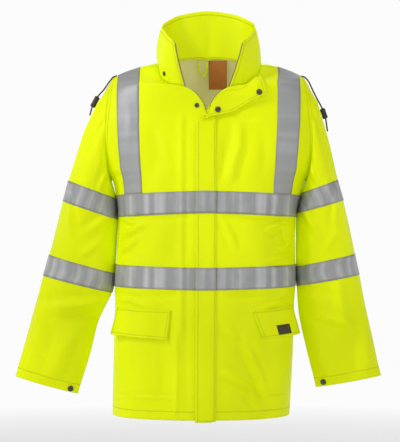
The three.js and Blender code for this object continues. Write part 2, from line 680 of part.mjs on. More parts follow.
// Each stud's cloth, its place there seen from the front, its size and how far it stands off
const STUDS = table("name cloth x z radius rise", [
  ["stud_chin_inner", chinTriangles, 20, -107, STUD.cap, STUD_RISE.chinInner],
  ["stud_chin_outer", chinTriangles, 113, -67, STUD.cap, STUD_RISE.chinOuter],
  ["stud_neck", surface.front_right, -27, -97, STUD.small, STUD_RISE.cloth],
  ["stud_collar", surface.collar, -101, -22, STUD.small, STUD_RISE.cloth],
  ["stud_cuff_right", surface.sleeve_right, -316, -740, STUD.cap, STUD_RISE.cloth],
  ["stud_cuff_left", surface.sleeve_left, 262, -725, STUD.cap, STUD_RISE.cloth],
]);
for (const { name, cloth, x, z, radius, rise } of STUDS) {
  const profile = STUD_PROFILE.map(([r, h]) => new THREE.Vector2(r * radius, h * STUD.high));
  const { point, normal } = depthAt(cloth, x, z);
  const stud = addMesh(name, new THREE.LatheGeometry(profile, STUD.sides), STEEL);
  stud.position.copy(point).addScaledVector(normal, rise + STUD.seat);
  stud.quaternion.setFromUnitVectors(new THREE.Vector3(0, 1, 0), normal);
}

// Bare patch on the left pocket flap
const PATCH = { columns: [3, 5], rows: [1, 2], inset: 2, cloth: 1.2 };
const patchGrid = grids.pocket_left
  .slice(PATCH.rows[0], PATCH.rows[1] + 1)
  .map((row) => row.slice(PATCH.columns[0], PATCH.columns[1] + 1));
const patchTriangles = trianglesOf(patchGrid, true);
shareNormals(patchTriangles);
addMesh("pocket_patch", wall(patchTriangles, SEAT, SEAT + PATCH.cloth, PATCH.inset), DARK_CLOTH);

// Neck label: hangs from the back of the neckline inside
const LABEL = { wide: 43, tall: 68, cloth: 0.9, x: 22, y: 79.7, z: -13, turn: -7.5 };
const label = addMesh("neck_label", new THREE.BoxGeometry(LABEL.wide, LABEL.cloth, LABEL.tall), LABEL_CLOTH);
label.position.set(LABEL.x, LABEL.y, LABEL.z);
label.rotation.z = THREE.MathUtils.degToRad(LABEL.turn);

// A tube along a smooth curve through some points
function tube(points, radius, sides, stepLength) {
  const curve = new THREE.CatmullRomCurve3(points.map((p) => new THREE.Vector3(...p)));
  const section = new THREE.Shape();
  for (let k = 0; k < sides; k++) {
    const turn = (2 * Math.PI * k) / sides;
    section[k ? "lineTo" : "moveTo"](radius * Math.cos(turn), radius * Math.sin(turn));
  }
  section.closePath();
  const steps = Math.max(2, Math.round(curve.getLength() / stepLength));
  return new THREE.ExtrudeGeometry(section, { steps, extrudePath: curve, curveSegments: 1 });
}

// Hanger loop: a narrow rolled strip inside the back of the neck
const LOOP = { radius: 1.5, sides: 6, step: 9 };
const LOOP_ROUTE = [
  [-20, 79.2, 22],
  [-22.5, 79.2, 10],
  [-23.5, 80.4, 0],
  [-18, 81.4, -11],
  [-11, 81.9, -15],
  [-6, 81.4, -9],
  [-4, 80.5, 2],
  [-3, 79.4, 22],
];
addMesh("hanger_loop", tube(LOOP_ROUTE, LOOP.radius, LOOP.sides, LOOP.step), YELLOW);

// Hood drawcords: out of the hood's corners at the shoulder tips and down over the sleeve
// heads, each through a toggle to a short free end.
const CORD = { radius: 1.75, sides: 8, step: 8 };
const TOGGLE = { radius: 6.5, sides: 10, seat: 0.4 };
// A barrel with bevelled ends, as shares of the radius and of the length
const TOGGLE_PROFILE = [
  [0, -0.5],
  [0.7, -0.5],
  [1, -0.3],
  [1, 0.3],
  [0.7, 0.5],
  [0, 0.5],
];
const CORDS = {
  right: {
    route: [
      [-213.4, 14.2, -20.5],
      [-216, 9, -22.4],
      [-221.5, 6.5, -25],
      [-231, 6, -37],
      [-242.8, 6, -54],
      [-256, 6, -69],
    ],
    end: [
      [-269.5, 7, -94],
      [-272.1, 7, -103],
      [-275, 7, -112.6],
    ],
  },
  left: {
    route: [
      [213.4, 15.2, -21.1],
      [216, 9, -23.2],
      [221.6, 2, -24.6],
      [230.6, -5, -35.8],
      [239.6, -9, -55.8],
      [250.6, -11, -77.8],
      [261, -12, -97.8],
    ],
    end: [
      [269, -13, -121.8],
      [271, -13, -134.8],
      [273.4, -13, -150.8],
    ],
  },
};
for (const { name } of SIDES) {
  const cord = CORDS[name];
  addMesh(`hood_cord_${name}`, tube(cord.route, CORD.radius, CORD.sides, CORD.step), DARK);
  addMesh(`hood_cord_end_${name}`, tube(cord.end, CORD.radius, CORD.sides, CORD.step), DARK);
  const from = new THREE.Vector3(...cord.route.at(-1));
  const to = new THREE.Vector3(...cord.end[0]);
  const long = from.distanceTo(to) - 2 * TOGGLE.seat;
  const profile = TOGGLE_PROFILE.map(([r, h]) => new THREE.Vector2(r * TOGGLE.radius, h * long));
  const toggle = addMesh(`hood_toggle_${name}`, new THREE.LatheGeometry(profile, TOGGLE.sides), DARK);
  toggle.position.copy(from).lerp(to, 0.5);
  toggle.quaternion.setFromUnitVectors(new THREE.Vector3(0, 1, 0), to.clone().sub(from).normalize());
}

export default jacket;
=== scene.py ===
"""Hi-vis work jacket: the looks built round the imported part, in metres, +Z up, front facing -Y.

Tables and grids of points are in millimetres. Sides are the wearer's: -1 is right, 1 is left.
"""

import bmesh
import bpy
import math
import numpy as np
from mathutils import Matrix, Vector
from mathutils.bvhtree import BVHTree


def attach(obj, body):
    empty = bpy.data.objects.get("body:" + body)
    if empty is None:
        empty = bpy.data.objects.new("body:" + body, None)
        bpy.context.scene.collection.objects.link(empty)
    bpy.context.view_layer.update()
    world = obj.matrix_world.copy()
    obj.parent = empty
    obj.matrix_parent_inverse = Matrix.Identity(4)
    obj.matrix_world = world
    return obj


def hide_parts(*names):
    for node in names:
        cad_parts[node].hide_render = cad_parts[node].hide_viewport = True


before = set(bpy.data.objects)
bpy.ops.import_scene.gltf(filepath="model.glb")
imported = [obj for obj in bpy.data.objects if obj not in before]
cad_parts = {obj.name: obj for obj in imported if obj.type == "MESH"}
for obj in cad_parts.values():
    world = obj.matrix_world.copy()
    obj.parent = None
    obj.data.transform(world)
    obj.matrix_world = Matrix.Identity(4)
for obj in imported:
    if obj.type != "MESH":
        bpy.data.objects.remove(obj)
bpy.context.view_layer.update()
scene = bpy.context.scene

MM = 0.001
SIDES = {-1: "right", 1: "left"}
LENS = 128.4
SENSOR_WIDTH = 36
CAMERA_PLACE = (-0.020, -3.640, -0.357)


def linked(name, data):
    """A new object in the scene that shows some data."""
    thing = bpy.data.objects.new(name, data)
    scene.collection.objects.link(thing)
    return thing


def make_camera():
    """The camera at the photograph's angle: level, straight from the front."""
    data = bpy.data.cameras.new("camera")
    data.lens = LENS
    data.sensor_width = SENSOR_WIDTH
    camera = linked("camera", data)
    camera.location = CAMERA_PLACE
    camera.rotation_euler = (math.radians(90), 0, 0)
    scene.camera = camera


make_camera()


# Tables and curves
def table(columns, rows):
    """Reads rows of numbers into an array for each column name."""
    return {name: np.array([row[i] for row in rows], float) for i, name in enumerate(columns.split())}


def read_table(rows, place):
    """Every column at some places between the rows, on a smooth curve."""
    place = np.asarray(place, float)
    count = len(next(iter(rows.values())))
    start = np.clip(np.floor(place).astype(int), 0, count - 2)
    t = place - start
    out = {}
    for name, values in rows.items():
        before, begin, end, after = (values[np.clip(start + k, 0, count - 1)] for k in (-1, 0, 1, 2))
        leave, arrive, rise = (end - before) / 2, (after - begin) / 2, end - begin
        square = 3 * rise - 2 * leave - arrive
        out[name] = begin + t * (leave + t * (square + t * (leave + arrive - 2 * rise)))
    return out


def mix(a, b, t):
    return a + (b - a) * t


def ease(t):
    t = np.clip(t, 0, 1)
    return t * t * (3 - 2 * t)


def unit(v):
    return v / np.maximum(np.linalg.norm(v, axis=-1, keepdims=True), 1e-9)


def bell(*offs):
    """1 where every offset is 0, down to nearly 0 where one of them is past 2."""
    return np.exp(-sum(np.square(off) for off in offs))


def ripple(u, v, scale, seed):
    """A small smooth uneven surface, the same on every run, from some crossed waves."""
    total = np.zeros(np.broadcast(u, v).shape)
    for k in range(7):
        turn = seed * 1.7 + k * 2.399
        wave = scale * (0.7 + 0.23 * k)
        phase = seed * 3.1 + k * 1.93
        along = u * math.cos(turn) + v * math.sin(turn)
        total = total + np.sin(along * 2 * math.pi / wave + phase) / (1 + 0.25 * k)
    return total / 3.2


# Materials
STITCH = 0.0034  # from one stitch to the next
YELLOW = (0.84, 0.95, 0.0, 1)
YELLOW_DEEP = (0.70, 0.80, 0.0, 1)
# painted shade: the darker yellow of the grooves beside rows of stitches
YELLOW_GROOVE_SHADE = (0.46, 0.53, 0.0, 1)
THREAD = (0.74, 0.78, 0.02, 1)
# painted shade of the tape's stitch grooves and edges
TAPE_GROOVE_SHADE = (0.19, 0.15, 0.17, 1)
TAPE_THREAD = (0.52, 0.50, 0.46, 1)
TAPE_BEADS = (0.2, 0.2, 0.19, 1)
YELLOW_PAINTED_GLOW = 0.07  # painted glow: light that the yellow gives out beyond what falls on it, which also lifts its shade
LINING_PAINTED_GLOW = 0.28  # painted glow: light that the reverse gives out of its own, to brighten it where it lies in shade


class Nodes:
    """Short ways to make shader nodes in one material, or in the world."""

    def __init__(self, owner, shader="Principled BSDF"):
        self.owner = owner
        owner.use_nodes = True
        self.tree = owner.node_tree
        self.shader = self.tree.nodes[shader]

    def link(self, value, socket):
        if isinstance(value, bpy.types.NodeSocket):
            self.tree.links.new(value, socket)
        else:
            socket.default_value = value

    def add(self, kind, inputs, **settings):
        """A node with its settings, and its inputs set or linked by their names or numbers."""
        node = self.tree.nodes.new("ShaderNode" + kind)
        for name, value in settings.items():
            setattr(node, name, value)
        for name, value in inputs.items():
            self.link(value, node.inputs[name])
        return node

    def set(self, **inputs):
        """Sets or links the shader's own sockets, named with low lines for spaces."""
        for name, value in inputs.items():
            self.link(value, self.shader.inputs[name.replace("_", " ")])

    def math(self, operation, a, b=0.0):
        return self.add("Math", {0: a, 1: b}, operation=operation).outputs[0]

    def times(self, a, b):
        return self.math("MULTIPLY", a, b)

    def plus(self, a, b):
        return self.math("ADD", a, b)

    def minus(self, a, b):
        return self.math("SUBTRACT", a, b)

    def largest(self, values):
        total = values[0]
        for value in values[1:]:
            total = self.math("MAXIMUM", total, value)
        return total

    def map(self, name):
        """Both axes of one of the piece's maps."""
        coords = self.add("UVMap", {}, uv_map=name).outputs[0]
        split = self.add("SeparateXYZ", {0: coords})
        return split.outputs["X"], split.outputs["Y"]

    def place(self):
        return self.add("TexCoord", {}).outputs["Object"]

    def noise(self, scale, detail=2.0, stretch=(1, 1, 1), rough=0.5):
        place = self.add("Mapping", {"Vector": self.place(), "Scale": stretch}).outputs[0]
        inputs = {"Vector": place, "Scale": scale, "Detail": detail, "Roughness": rough}
        return self.add("TexNoise", inputs).outputs["Fac"]

    def ramp(self, value, low, high, to_low=0.0, to_high=1.0):
        inputs = {"Value": value, "From Min": low, "From Max": high, "To Min": to_low, "To Max": to_high}
        return self.add("MapRange", inputs, clamp=True).outputs["Result"]

    def mix(self, amount, a, b):
        node = self.add("Mix", {"Factor": amount}, data_type="RGBA")
        first, second = (socket for socket in node.inputs if socket.type == "RGBA")
        self.link(a, first)
        self.link(b, second)
        return next(socket for socket in node.outputs if socket.type == "RGBA")

    def band(self, distance, at, half):
        """1 within half of a line at a distance, softly down to 0."""
        off = self.math("ABSOLUTE", self.minus(distance, at))
        return self.ramp(off, half * 0.7, half * 1.3, 1.0, 0.0)

    def dashes(self, along):
        """1 on each stitch along a row, and 0 between stitches."""
        beat = self.math("FRACT", self.times(along, 1 / STITCH))
        return self.ramp(self.math("ABSOLUTE", self.minus(beat, 0.5)), 0.28, 0.36, 1.0, 0.0)

    def bump(self, height, distance):
        node = self.add("Bump", {"Distance": distance, "Strength": 1.0, "Height": height})
        self.set(Normal=node.outputs[0])


def plain_material(name, colour, dark, roughness, metallic=0.0, scale=90):
    """One colour with faint darker clouds."""
    nodes = Nodes(bpy.data.materials.new(name))
    cloudy = nodes.ramp(nodes.noise(scale, 3), 0.35, 0.65)
    nodes.set(Base_Color=nodes.mix(cloudy, colour + (1,), dark + (1,)))
    nodes.set(Roughness=roughness, Metallic=metallic)
    nodes.bump(nodes.noise(scale * 9, 2), 0.0001)
    return nodes.owner


def braid_material():
    """Dark braided cord."""
    nodes = Nodes(bpy.data.materials.new("braided_cord"))
    inputs = {"Vector": nodes.place(), "Scale": 190}
    braid = nodes.add("TexWave", inputs, wave_type="BANDS", bands_direction="DIAGONAL").outputs["Fac"]
    nodes.set(Base_Color=nodes.mix(braid, (0.02, 0.018, 0.01, 1), (0.06, 0.055, 0.035, 1)), Roughness=0.8)
    nodes.bump(braid, 0.0003)
    return nodes.owner


def stitch_rows(nodes, rows):
    """Threads and grooves of rows of stitches, each written as map, axis and mm from the edge."""
    threads, grooves = [], []
    for row in rows.split(", "):
        layer, axis, at = row.split()
        u, v = nodes.map(layer)
        distance, along = (u, v) if axis == "u" else (v, u)
        grooves.append(nodes.band(distance, float(at) * MM, 0.0011))
        threads.append(nodes.times(nodes.band(distance, float(at) * MM, 0.0005), nodes.dashes(along)))
    return nodes.largest(threads), nodes.largest(grooves)


def cloth_material(name, rows, pucker=0.00035):
    """Coated yellow rain cloth with rows of stitches, painted shade in their grooves, a painted glow, and the
    puckers beside them.
    """
    nodes = Nodes(bpy.data.materials.new(name))
    cloudy = nodes.ramp(nodes.noise(5.5, 2, (1, 1, 0.5)), 0.35, 0.7)
    crumple = nodes.noise(58, 4, (1, 1, 0.55), 0.6)
    thread, groove = stitch_rows(nodes, rows)
    colour = nodes.mix(cloudy, YELLOW, YELLOW_DEEP)
    # painted shade in the stitch grooves
    colour = nodes.mix(nodes.times(groove, 0.35), colour, YELLOW_GROOVE_SHADE)
    colour = nodes.mix(nodes.times(thread, 0.8), colour, THREAD)
    height = nodes.plus(nodes.times(crumple, 0.55), nodes.times(nodes.noise(1400, 2), 0.05))
    height = nodes.minus(height, nodes.times(groove, 0.9))
    height = nodes.plus(height, nodes.times(thread, 1.2))
    nodes.bump(height, pucker)
    nodes.set(Base_Color=colour, Roughness=0.52, Specular_IOR_Level=0.12)
    # painted glow: the cloth's colour given out as light, also where it lies in shade
    nodes.set(Emission_Color=colour, Emission_Strength=YELLOW_PAINTED_GLOW)
    return nodes.owner


def lining_material():
    """The knit back of the coated cloth."""
    nodes = Nodes(bpy.data.materials.new("cloth_reverse"))
    cloudy = nodes.ramp(nodes.noise(16, 3), 0.3, 0.7)
    colour = nodes.mix(cloudy, (0.66, 0.64, 0.33, 1), (0.55, 0.53, 0.21, 1))
    inputs = {"Vector": nodes.place(), "Scale": 260, "Distortion": 0.4}
    knit = nodes.add("TexWave", inputs, wave_type="BANDS", bands_direction="Z").outputs["Fac"]
    nodes.bump(knit, 0.0002)
    nodes.set(Base_Color=colour, Roughness=0.85, Specular_IOR_Level=0.15)
    # painted glow: the reverse gives out its own colour as light, lifting it where it lies in shade
    nodes.set(Emission_Color=colour, Emission_Strength=LINING_PAINTED_GLOW)
    return nodes.owner


def tape_material(name, axis, dark, light):
    """Silver tape: a fine beaded face, streaks of painted highlight and shade across it from its puckers,
    painted shade in its grooves and along its edges, and a stitched edge on each side of axis.
    """
    nodes = Nodes(bpy.data.materials.new(name))
    across, lengthways = (0, 1) if axis == "u" else (1, 0)
    near, far = nodes.map("near"), nodes.map("far")
    along = near[lengthways]
    inputs = {"W": nodes.plus(along, 3.7), "Scale": 38, "Detail": 3}
    puckers_and_sheen = nodes.add("TexNoise", inputs, noise_dimensions="1D").outputs["Fac"]
    beads = nodes.add("TexVoronoi", {"Vector": nodes.place(), "Scale": 1500}).outputs["Distance"]
    rows, grooves = [], []
    for distance in (near[across], far[across]):
        rows.append(nodes.times(nodes.band(distance, 0.0026, 0.0006), nodes.dashes(along)))
        grooves.append(nodes.band(distance, 0.0026, 0.0011))
        grooves.append(nodes.ramp(distance, 0.0, 0.0009, 0.7, 0.0))
    groove, thread = nodes.largest(grooves), nodes.largest(rows)
    tone = nodes.plus(nodes.times(puckers_and_sheen, 0.75), nodes.times(nodes.noise(30, 3), 0.25))
    # painted highlight and shade: the colour runs from dark to light along the puckers' streaks, with some
    # random tone
    colour = nodes.mix(nodes.ramp(tone, 0.42, 0.74), dark, light)
    colour = nodes.mix(nodes.times(beads, 0.25), colour, TAPE_BEADS)
    # painted shade along the stitch grooves and the tape's edges
    colour = nodes.mix(nodes.times(groove, 0.6), colour, TAPE_GROOVE_SHADE)
    colour = nodes.mix(nodes.times(thread, 0.8), colour, TAPE_THREAD)
    height = nodes.plus(nodes.times(puckers_and_sheen, 0.8), nodes.times(beads, 0.06))
    nodes.bump(nodes.minus(height, nodes.times(groove, 0.7)), 0.0005)
    nodes.set(Base_Color=colour, Metallic=0.25, Roughness=0.5, Specular_IOR_Level=0.35)
    return nodes.owner


# Pieces of the scene
def mesh_piece(name, bm, materials, smooth=True):
    """An object made of a mesh, which is used up."""
    for face in bm.faces:
        face.smooth = smooth
    mesh = bpy.data.meshes.new(name)
    bm.to_mesh(mesh)
    bm.free()
    for material in materials:
        mesh.materials.append(material)
    return linked(name, mesh)


def hold(piece, slot, *nodes):
    """Fixes a piece to the jacket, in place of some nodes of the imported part."""
    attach(piece, "root")
    if nodes:
        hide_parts(*nodes)


def lathe_piece(name, profile, place, axis, material, node, slot):
    """A turned piece: profile is (radius, height) pairs along its axis."""
    bm = bmesh.new()
    last = len(profile) - 1
    made = bmesh.ops.create_grid(bm, x_segments=40, y_segments=last, size=1)["verts"]
    turn = Vector((0, 0, 1)).rotation_difference(Vector(axis)).to_matrix()
    for vert in made:
        r, h = profile[int(round((vert.co.y + 1) / 2 * last))]
        angle = (vert.co.x + 1) * math.pi
        vert.co = turn @ (Vector((r * math.cos(angle), r * math.sin(angle), h)) * MM) + Vector(place) * MM
    bmesh.ops.remove_doubles(bm, verts=bm.verts, dist=0.00002)
    bmesh.ops.recalc_face_normals(bm, faces=bm.faces)
    piece = mesh_piece(name, bm, [material])
    hold(piece, slot, node)
    return piece


# Hood drawcords, each with a toggle, on routes chosen from the photograph
CORD_DIAMETER = 0.0035
CORD_ROUTES = {
    -1: [
        (-213.4, 14.2, -20.5), (-216, 9, -22.4), (-221.5, 6.5, -25), (-231, 6, -37), (-242.8, 6, -54),
        (-256, 6, -69), (-269.5, 7, -94), (-272.1, 7, -103), (-275, 7, -112.6),
    ],
    1: [
        (213.4, 15.2, -21.1), (216, 9, -23.2), (221.6, 2, -24.6), (230.6, -5, -35.8), (239.6, -9, -55.8),
        (250.6, -11, -77.8), (261, -12, -97.8), (269, -13, -121.8), (271, -13, -134.8), (273.4, -13, -150.8),
    ],
}
TOGGLE_SPAN = {-1: (5, 6), 1: (6, 7)}  # the two points of the route that a toggle lies between
TOGGLE = [
    (0, -0.5), (0.62, -0.5), (0.8, -0.47), (0.95, -0.4), (1, -0.3), (0.93, -0.22),
    (0.93, 0.22), (1, 0.3), (0.95, 0.4), (0.8, 0.47), (0.62, 0.5), (0, 0.5),
]
TOGGLE_RADIUS = 6.4
TOGGLE_GAP = 0.4  # from each end of a toggle to the end of its span


def smooth_route(points, count):
    """Points in metres on a smooth curve through a route."""
    read = read_table(table("x y z", points), np.linspace(0, len(points) - 1, count))
    return np.stack([read["x"], read["y"], read["z"]], axis=-1) * MM


def cord_piece(name, points, material):
    """A round cord along some points."""
    data = bpy.data.curves.new(name, "CURVE")
    data.dimensions = "3D"
    data.bevel_depth = CORD_DIAMETER / 2
    data.bevel_resolution = 4
    data.use_fill_caps = True
    spline = data.splines.new("POLY")
    spline.points.add(len(points) - 1)
    for point, place in zip(spline.points, points):
        point.co = (*place, 1)
    data.materials.append(material)
    return linked(name, data)


def make_drawcord(side, name):
    """The free end of the cord at one shoulder, with its toggle."""
    line = smooth_route(CORD_ROUTES[side], 90)
    cord = cord_piece(f"drawcord_{name}", line, cord_braid)
    hold(cord, "cord", f"hood_cord_{name}", f"hood_cord_end_{name}")
    begin, end = (np.array(CORD_ROUTES[side][i], float) for i in TOGGLE_SPAN[side])
    long = np.linalg.norm(end - begin) - 2 * TOGGLE_GAP
    profile = [(r * TOGGLE_RADIUS, h * long) for r, h in TOGGLE]
    toggle = lathe_piece(
        f"drawcord_toggle_{name}", profile, (begin + end) / 2, unit(end - begin),
        toggle_plastic, f"hood_toggle_{name}", "toggle",
    )


cord_braid = braid_material()
toggle_plastic = plain_material("toggle_plastic", (0.03, 0.027, 0.018), (0.02, 0.018, 0.012), 0.38, scale=200)
for side, name in SIDES.items():
    make_drawcord(side, name)

# Body, as rows of half a front and half a back from the hem up
CLOTH = 1.3
COLLAR_CLOTH = 2.2
FLAP_CLOTH = 1.8
TAPE = 0.7
LIFT = 0.35  # between cloth and what is sewn on it
GRAIN = 4.0  # spacing of the points of the fine grids
SIDE_EASE = 3  # how much fuller the cloth hangs at the sides between the two bands
BODY_DEPTH = 2.1  # how deep the body's creases are, against their tables
SLEEVE_DEPTH = 2.2
HOOD_DEPTH = 1.35

PANEL = (
    "innerX innerY innerZ outerX outerY outerZ reach crown innerMid outerMid "
    "flapX pocketX braceX braceEndX"
)
LEVELS = (
    "hem turnUp flapBottom flapTop waistBottom waistTop chestBottom chestTop underarm sleeveFoot "
    "sleeveFront chest zipTop lapel neckFront neckCorner neckSide shoulder"
).split()
LEVEL = {name: i for i, name in enumerate(LEVELS)}
FRONT = table(PANEL, [
    (3, -136, -801, 203, 2, -800, 1, 0, -7, -18, 23, 82, 146, 184),
    (3, -138, -779, 204, 2, -778, 1, 0, -7, -17, 23, 82, 146, 185),
    (3, -141, -621, 207, 2, -612, 1, 0, -7, -11, 23, 84, 146, 187),
    (3, -142, -558, 206, 2, -552, 1, 0, -7, -9, 23, 84, 146, 186),
    (3, -142, -511, 205, 2, -506, 1, 0, -7, -8, 23, 84, 146, 185),
    (3, -142, -461, 204, 2, -456, 1, 0, -7, -7, 23, 84, 146, 184),
    (3, -140, -340, 201, 2, -348, 1, 0, -7, -4, 23, 84, 147, 184),
    (3, -137, -290, 212, 2, -298, 1, 0, -7, -1, 23, 84, 147, 188),
    (3, -134, -252, 222, 2, -262, 1, 0, -7, 0, 23, 84, 149, 193),
    (3, -130, -222, 228, -42, -245, 0.98, 0, -7, 0, 23, 84, 151, 198),
    (3, -123, -182, 233, -66, -203, 0.92, 0, -7, 0, 23, 84, 153, 202),
    (3, -112, -140, 234, -73, -158, 0.87, 0, -6, 0, 23, 84, 155, 205),
    (4, -98, -104, 231, -64, -112, 0.82, 1, -4, 0, 26, 88, 156, 207),
    (24, -92, -71, 228, -46, -80, 0.76, 3, -4, 0, 42, 95, 157, 208),
    (51, -86, -54, 226, -31, -58, 0.7, 6, -4, 0, 64, 106, 157, 209),
    (82, -70, -49, 224, -17, -43, 0.6, 8, -2, 0, 90, 118, 157, 209),
    (108, -38, -31, 223, -8, -34, 0.5, 8, 0, 0, 113, 130, 158, 209),
    (119, 0, 3, 222, 3, -28, 0.3, 3, 2, 0, 124, 136, 159, 209),
])
BACK = table(PANEL, [
    (0, 136, -800, 203, 2, -800, 1, 0, -16, -18, 30, 88, 144, 184),
    (0, 137, -778, 204, 2, -778, 1, 0, -15, -17, 30, 88, 144, 185),
    (0, 139, -618, 207, 2, -612, 1, 0, -9, -11, 30, 88, 144, 187),
    (0, 138, -556, 206, 2, -552, 1, 0, -7, -9, 30, 88, 144, 186),
    (0, 137, -509, 205, 2, -506, 1, 0, -6, -8, 30, 88, 144, 185),
    (0, 137, -459, 204, 2, -456, 1, 0, -5, -7, 30, 88, 144, 184),
    (0, 142, -341, 201, 2, -348, 1, 0, -3, -4, 30, 88, 144, 184),
    (0, 145, -291, 212, 2, -298, 1, 0, -1, -1, 30, 88, 145, 188),
    (0, 147, -254, 222, 2, -262, 1, 0, 0, 0, 30, 88, 147, 193),
    (0, 148, -222, 228, 48, -245, 0.98, 0, 0, 0, 30, 88, 149, 198),
    (0, 146, -174, 233, 76, -203, 0.92, 0, 0, 0, 30, 88, 151, 202),
    (0, 140, -118, 234, 82, -158, 0.87, 0, 0, 0, 30, 88, 153, 205),
    (0, 126, -64, 231, 70, -112, 0.82, 3, 0, 0, 30, 88, 155, 207),
    (0, 105, -16, 228, 50, -80, 0.76, 5, 0, 0, 32, 88, 156, 208),
    (0, 82, 28, 226, 33, -58, 0.7, 2, 0, 0, 34, 92, 157, 209),
    (52, 74, 23, 224, 20, -43, 0.6, 6, 0, 0, 70, 108, 157, 209),
    (95, 44, 12, 223, 12, -34, 0.5, 7, 1, 0, 104, 126, 158, 209),
    (119, 0, 3, 222, 3, -28, 0.3, 3, 2, 0, 124, 136, 159, 209),
])
SECTION = "outerX outerZ innerX innerZ middleY halfDepth"
SLEEVES = {
    -1: table(SECTION, [
        (256, -85, 226, -268, 4, 82),
        (289, -156, 217.5, -288, 5, 87),
        (323, -264, 213.5, -305, 5, 85),
        (336, -311, 209.5, -354, 4, 80),
        (352, -373, 212.5, -414, 2, 70),
        (368, -434, 216.5, -477, -1, 60),
        (381, -482, 222, -522, -4, 54),
        (400, -553, 250, -588, -8, 46),
        (420, -627, 270, -656, -12, 38),
        (438, -691, 294, -731, -16, 29),
        (444, -713, 300, -753, -17, 26),
    ]),
    1: table(SECTION, [
        (249, -80, 226, -268, 4, 82),
        (269, -152, 216.5, -286, 5, 89),
        (297, -262, 212.5, -293, 5, 92),
        (310, -309, 202.5, -340, 4, 88),
        (325, -371, 201.5, -401, 2, 78),
        (337, -432, 201.5, -461, -1, 66),
        (347, -480, 203, -506, -4, 59),
        (361, -550, 208, -574, -8, 50),
        (377, -625, 224, -648, -12, 40),
        (391, -689, 241, -716, -16, 30),
        (396, -711, 246, -738, -17, 26),
    ]),
}
COLLAR_TOP = table("topX topY topZ bulge", [
    (79, -86, 46, 3),
    (94, -64, 64, 5),
    (104, -34, 79, 6),
    (107, 0, 94, 6),
    (97, 43, 110, 4),
    (62, 75, 129, 3),
    (0, 90, 139, 2),
    (-62, 75, 129, 3),
])
# Large soft folds of the body: face (-1 front), x, z, lean, length, width, height
FOLDS = [
    (-1, -62, -660, 2, 150, 26, 5),
    (-1, -112, -690, -4, 110, 26, -5),
    (-1, 92, -690, 30, 120, 24, -6),
    (-1, 132, -700, 26, 110, 24, 5),
    (-1, -150, -400, -38, 70, 26, -5),
    (-1, 152, -396, 38, 70, 26, -6),
    (-1, 108, -420, 25, 60, 26, 4),
    (1, -70, -650, 3, 160, 32, 6),
    (1, -20, -600, -3, 170, 30, -6),
    (1, 62, -660, 6, 150, 32, 6),
    (1, 128, -640, 10, 130, 28, -5),
    (1, -128, -640, -8, 130, 28, -5),
    (1, -118, -400, 40, 90, 30, 6),
    (1, 118, -400, -40, 90, 30, 6),
]
# Large folds of the sleeves: side, section, turn, length, width, height
SLEEVE_FOLDS = [
    (-1, 3, 55, 2.2, 26, 5),
    (-1, 4, 100, 2, 24, -5),
    (-1, 7, 150, 0.9, 40, -7),
    (-1, 8, 120, 1, 40, 5),
    (-1, 6, 250, 2.4, 26, -5),
    (1, 3, 50, 2.2, 26, 5),
    (1, 4, 95, 2.4, 24, -5),
    (1, 7, 100, 1.6, 30, 5),
    (1, 8, 60, 1.2, 40, -5),
    (1, 6, 250, 2.4, 26, -5),
]
RINGS_FROM_ARMHOLE = 4  # sections over which a sleeve turns from the armhole's shape to its own
SECTION_STEP = 55  # about how far apart a sleeve's sections are
ROUND = 2.5  # how square the body's section is
ROW_DROOP = 1.4
NEAR = 1e-9
COLUMNS = {"innerX": 0, "flapX": 1, "pocketX": 3, "braceX": 5, "braceEndX": 7, "outerX": 10}


def arc(x):
    return 1 - (1 - np.clip(x, 0, 1) ** ROUND) ** (1 / ROUND)


def reach_of(arch):
    """The reach whose arc is arch."""
    return (1 - (1 - np.clip(arch, 0, 1)) ** ROUND) ** (1 / ROUND)


for rows in (FRONT, BACK):
    rows["arch"] = arc(rows["reach"])
    rows["outerX"][LEVEL["waistBottom"]:LEVEL["chestBottom"] + 1] += SIDE_EASE


def share_at(rows, level, column):
    """How far across a half panel a column place is, 0 at the inner edge and 1 at the outer."""
    row = read_table(rows, level)
    marks = []
    names = list(COLUMNS)
    for a, b in zip(names, names[1:]):
        cells = COLUMNS[b] - COLUMNS[a]
        for k in range(cells):
            t = math.sin(k / cells * math.pi / 2) if b == "outerX" else k / cells
            marks.append((mix(row[a], row[b], t) - row["innerX"]) / (row["outerX"] - row["innerX"]))
    marks = np.stack(marks + [np.ones_like(marks[0])], axis=-1)
    start = np.clip(np.floor(column).astype(int), 0, COLUMNS["outerX"] - 1)[..., None]
    low, high = (np.take_along_axis(marks, start + k, axis=-1)[..., 0] for k in (0, 1))
    return mix(low, high, column - start[..., 0])


def panel_points(rows, side, level, column):
    """Points of a half panel without folds, at places between its levels and columns."""
    row = read_table(rows, level)
    share = share_at(rows, level, column)
    reach = reach_of(row["arch"])
    depth = arc(reach * share) / arc(reach)
    x = mix(row["innerMid"], row["outerMid"], share) + side * mix(row["innerX"], row["outerX"], share)
    y = mix(row["innerY"], row["outerY"], depth)
    z = mix(row["innerZ"], row["outerZ"], np.clip(share, 0, 1) ** ROW_DROOP)
    return np.stack([x, y, z + row["crown"] * 4 * share * (1 - share)], axis=-1)


def large_folds(points):
    """Moves body points in or out by the large folds that pass them."""
    x, y, z = np.moveaxis(points, -1, 0)
    high = np.zeros_like(x)
    for face, fold_x, fold_z, lean, length, width, height in FOLDS:
        lean = math.radians(lean)
        along = (x - fold_x) * math.sin(lean) - (z - fold_z) * math.cos(lean)
        across = (x - fold_x) * math.cos(lean) + (z - fold_z) * math.sin(lean)
        high += np.where(np.sign(y) == face, height * bell(along / length, across / width), 0)
    out = unit(points * [1, 1, 0])
    return points + out * (high * np.minimum(np.abs(y) / 70, 1))[..., None]


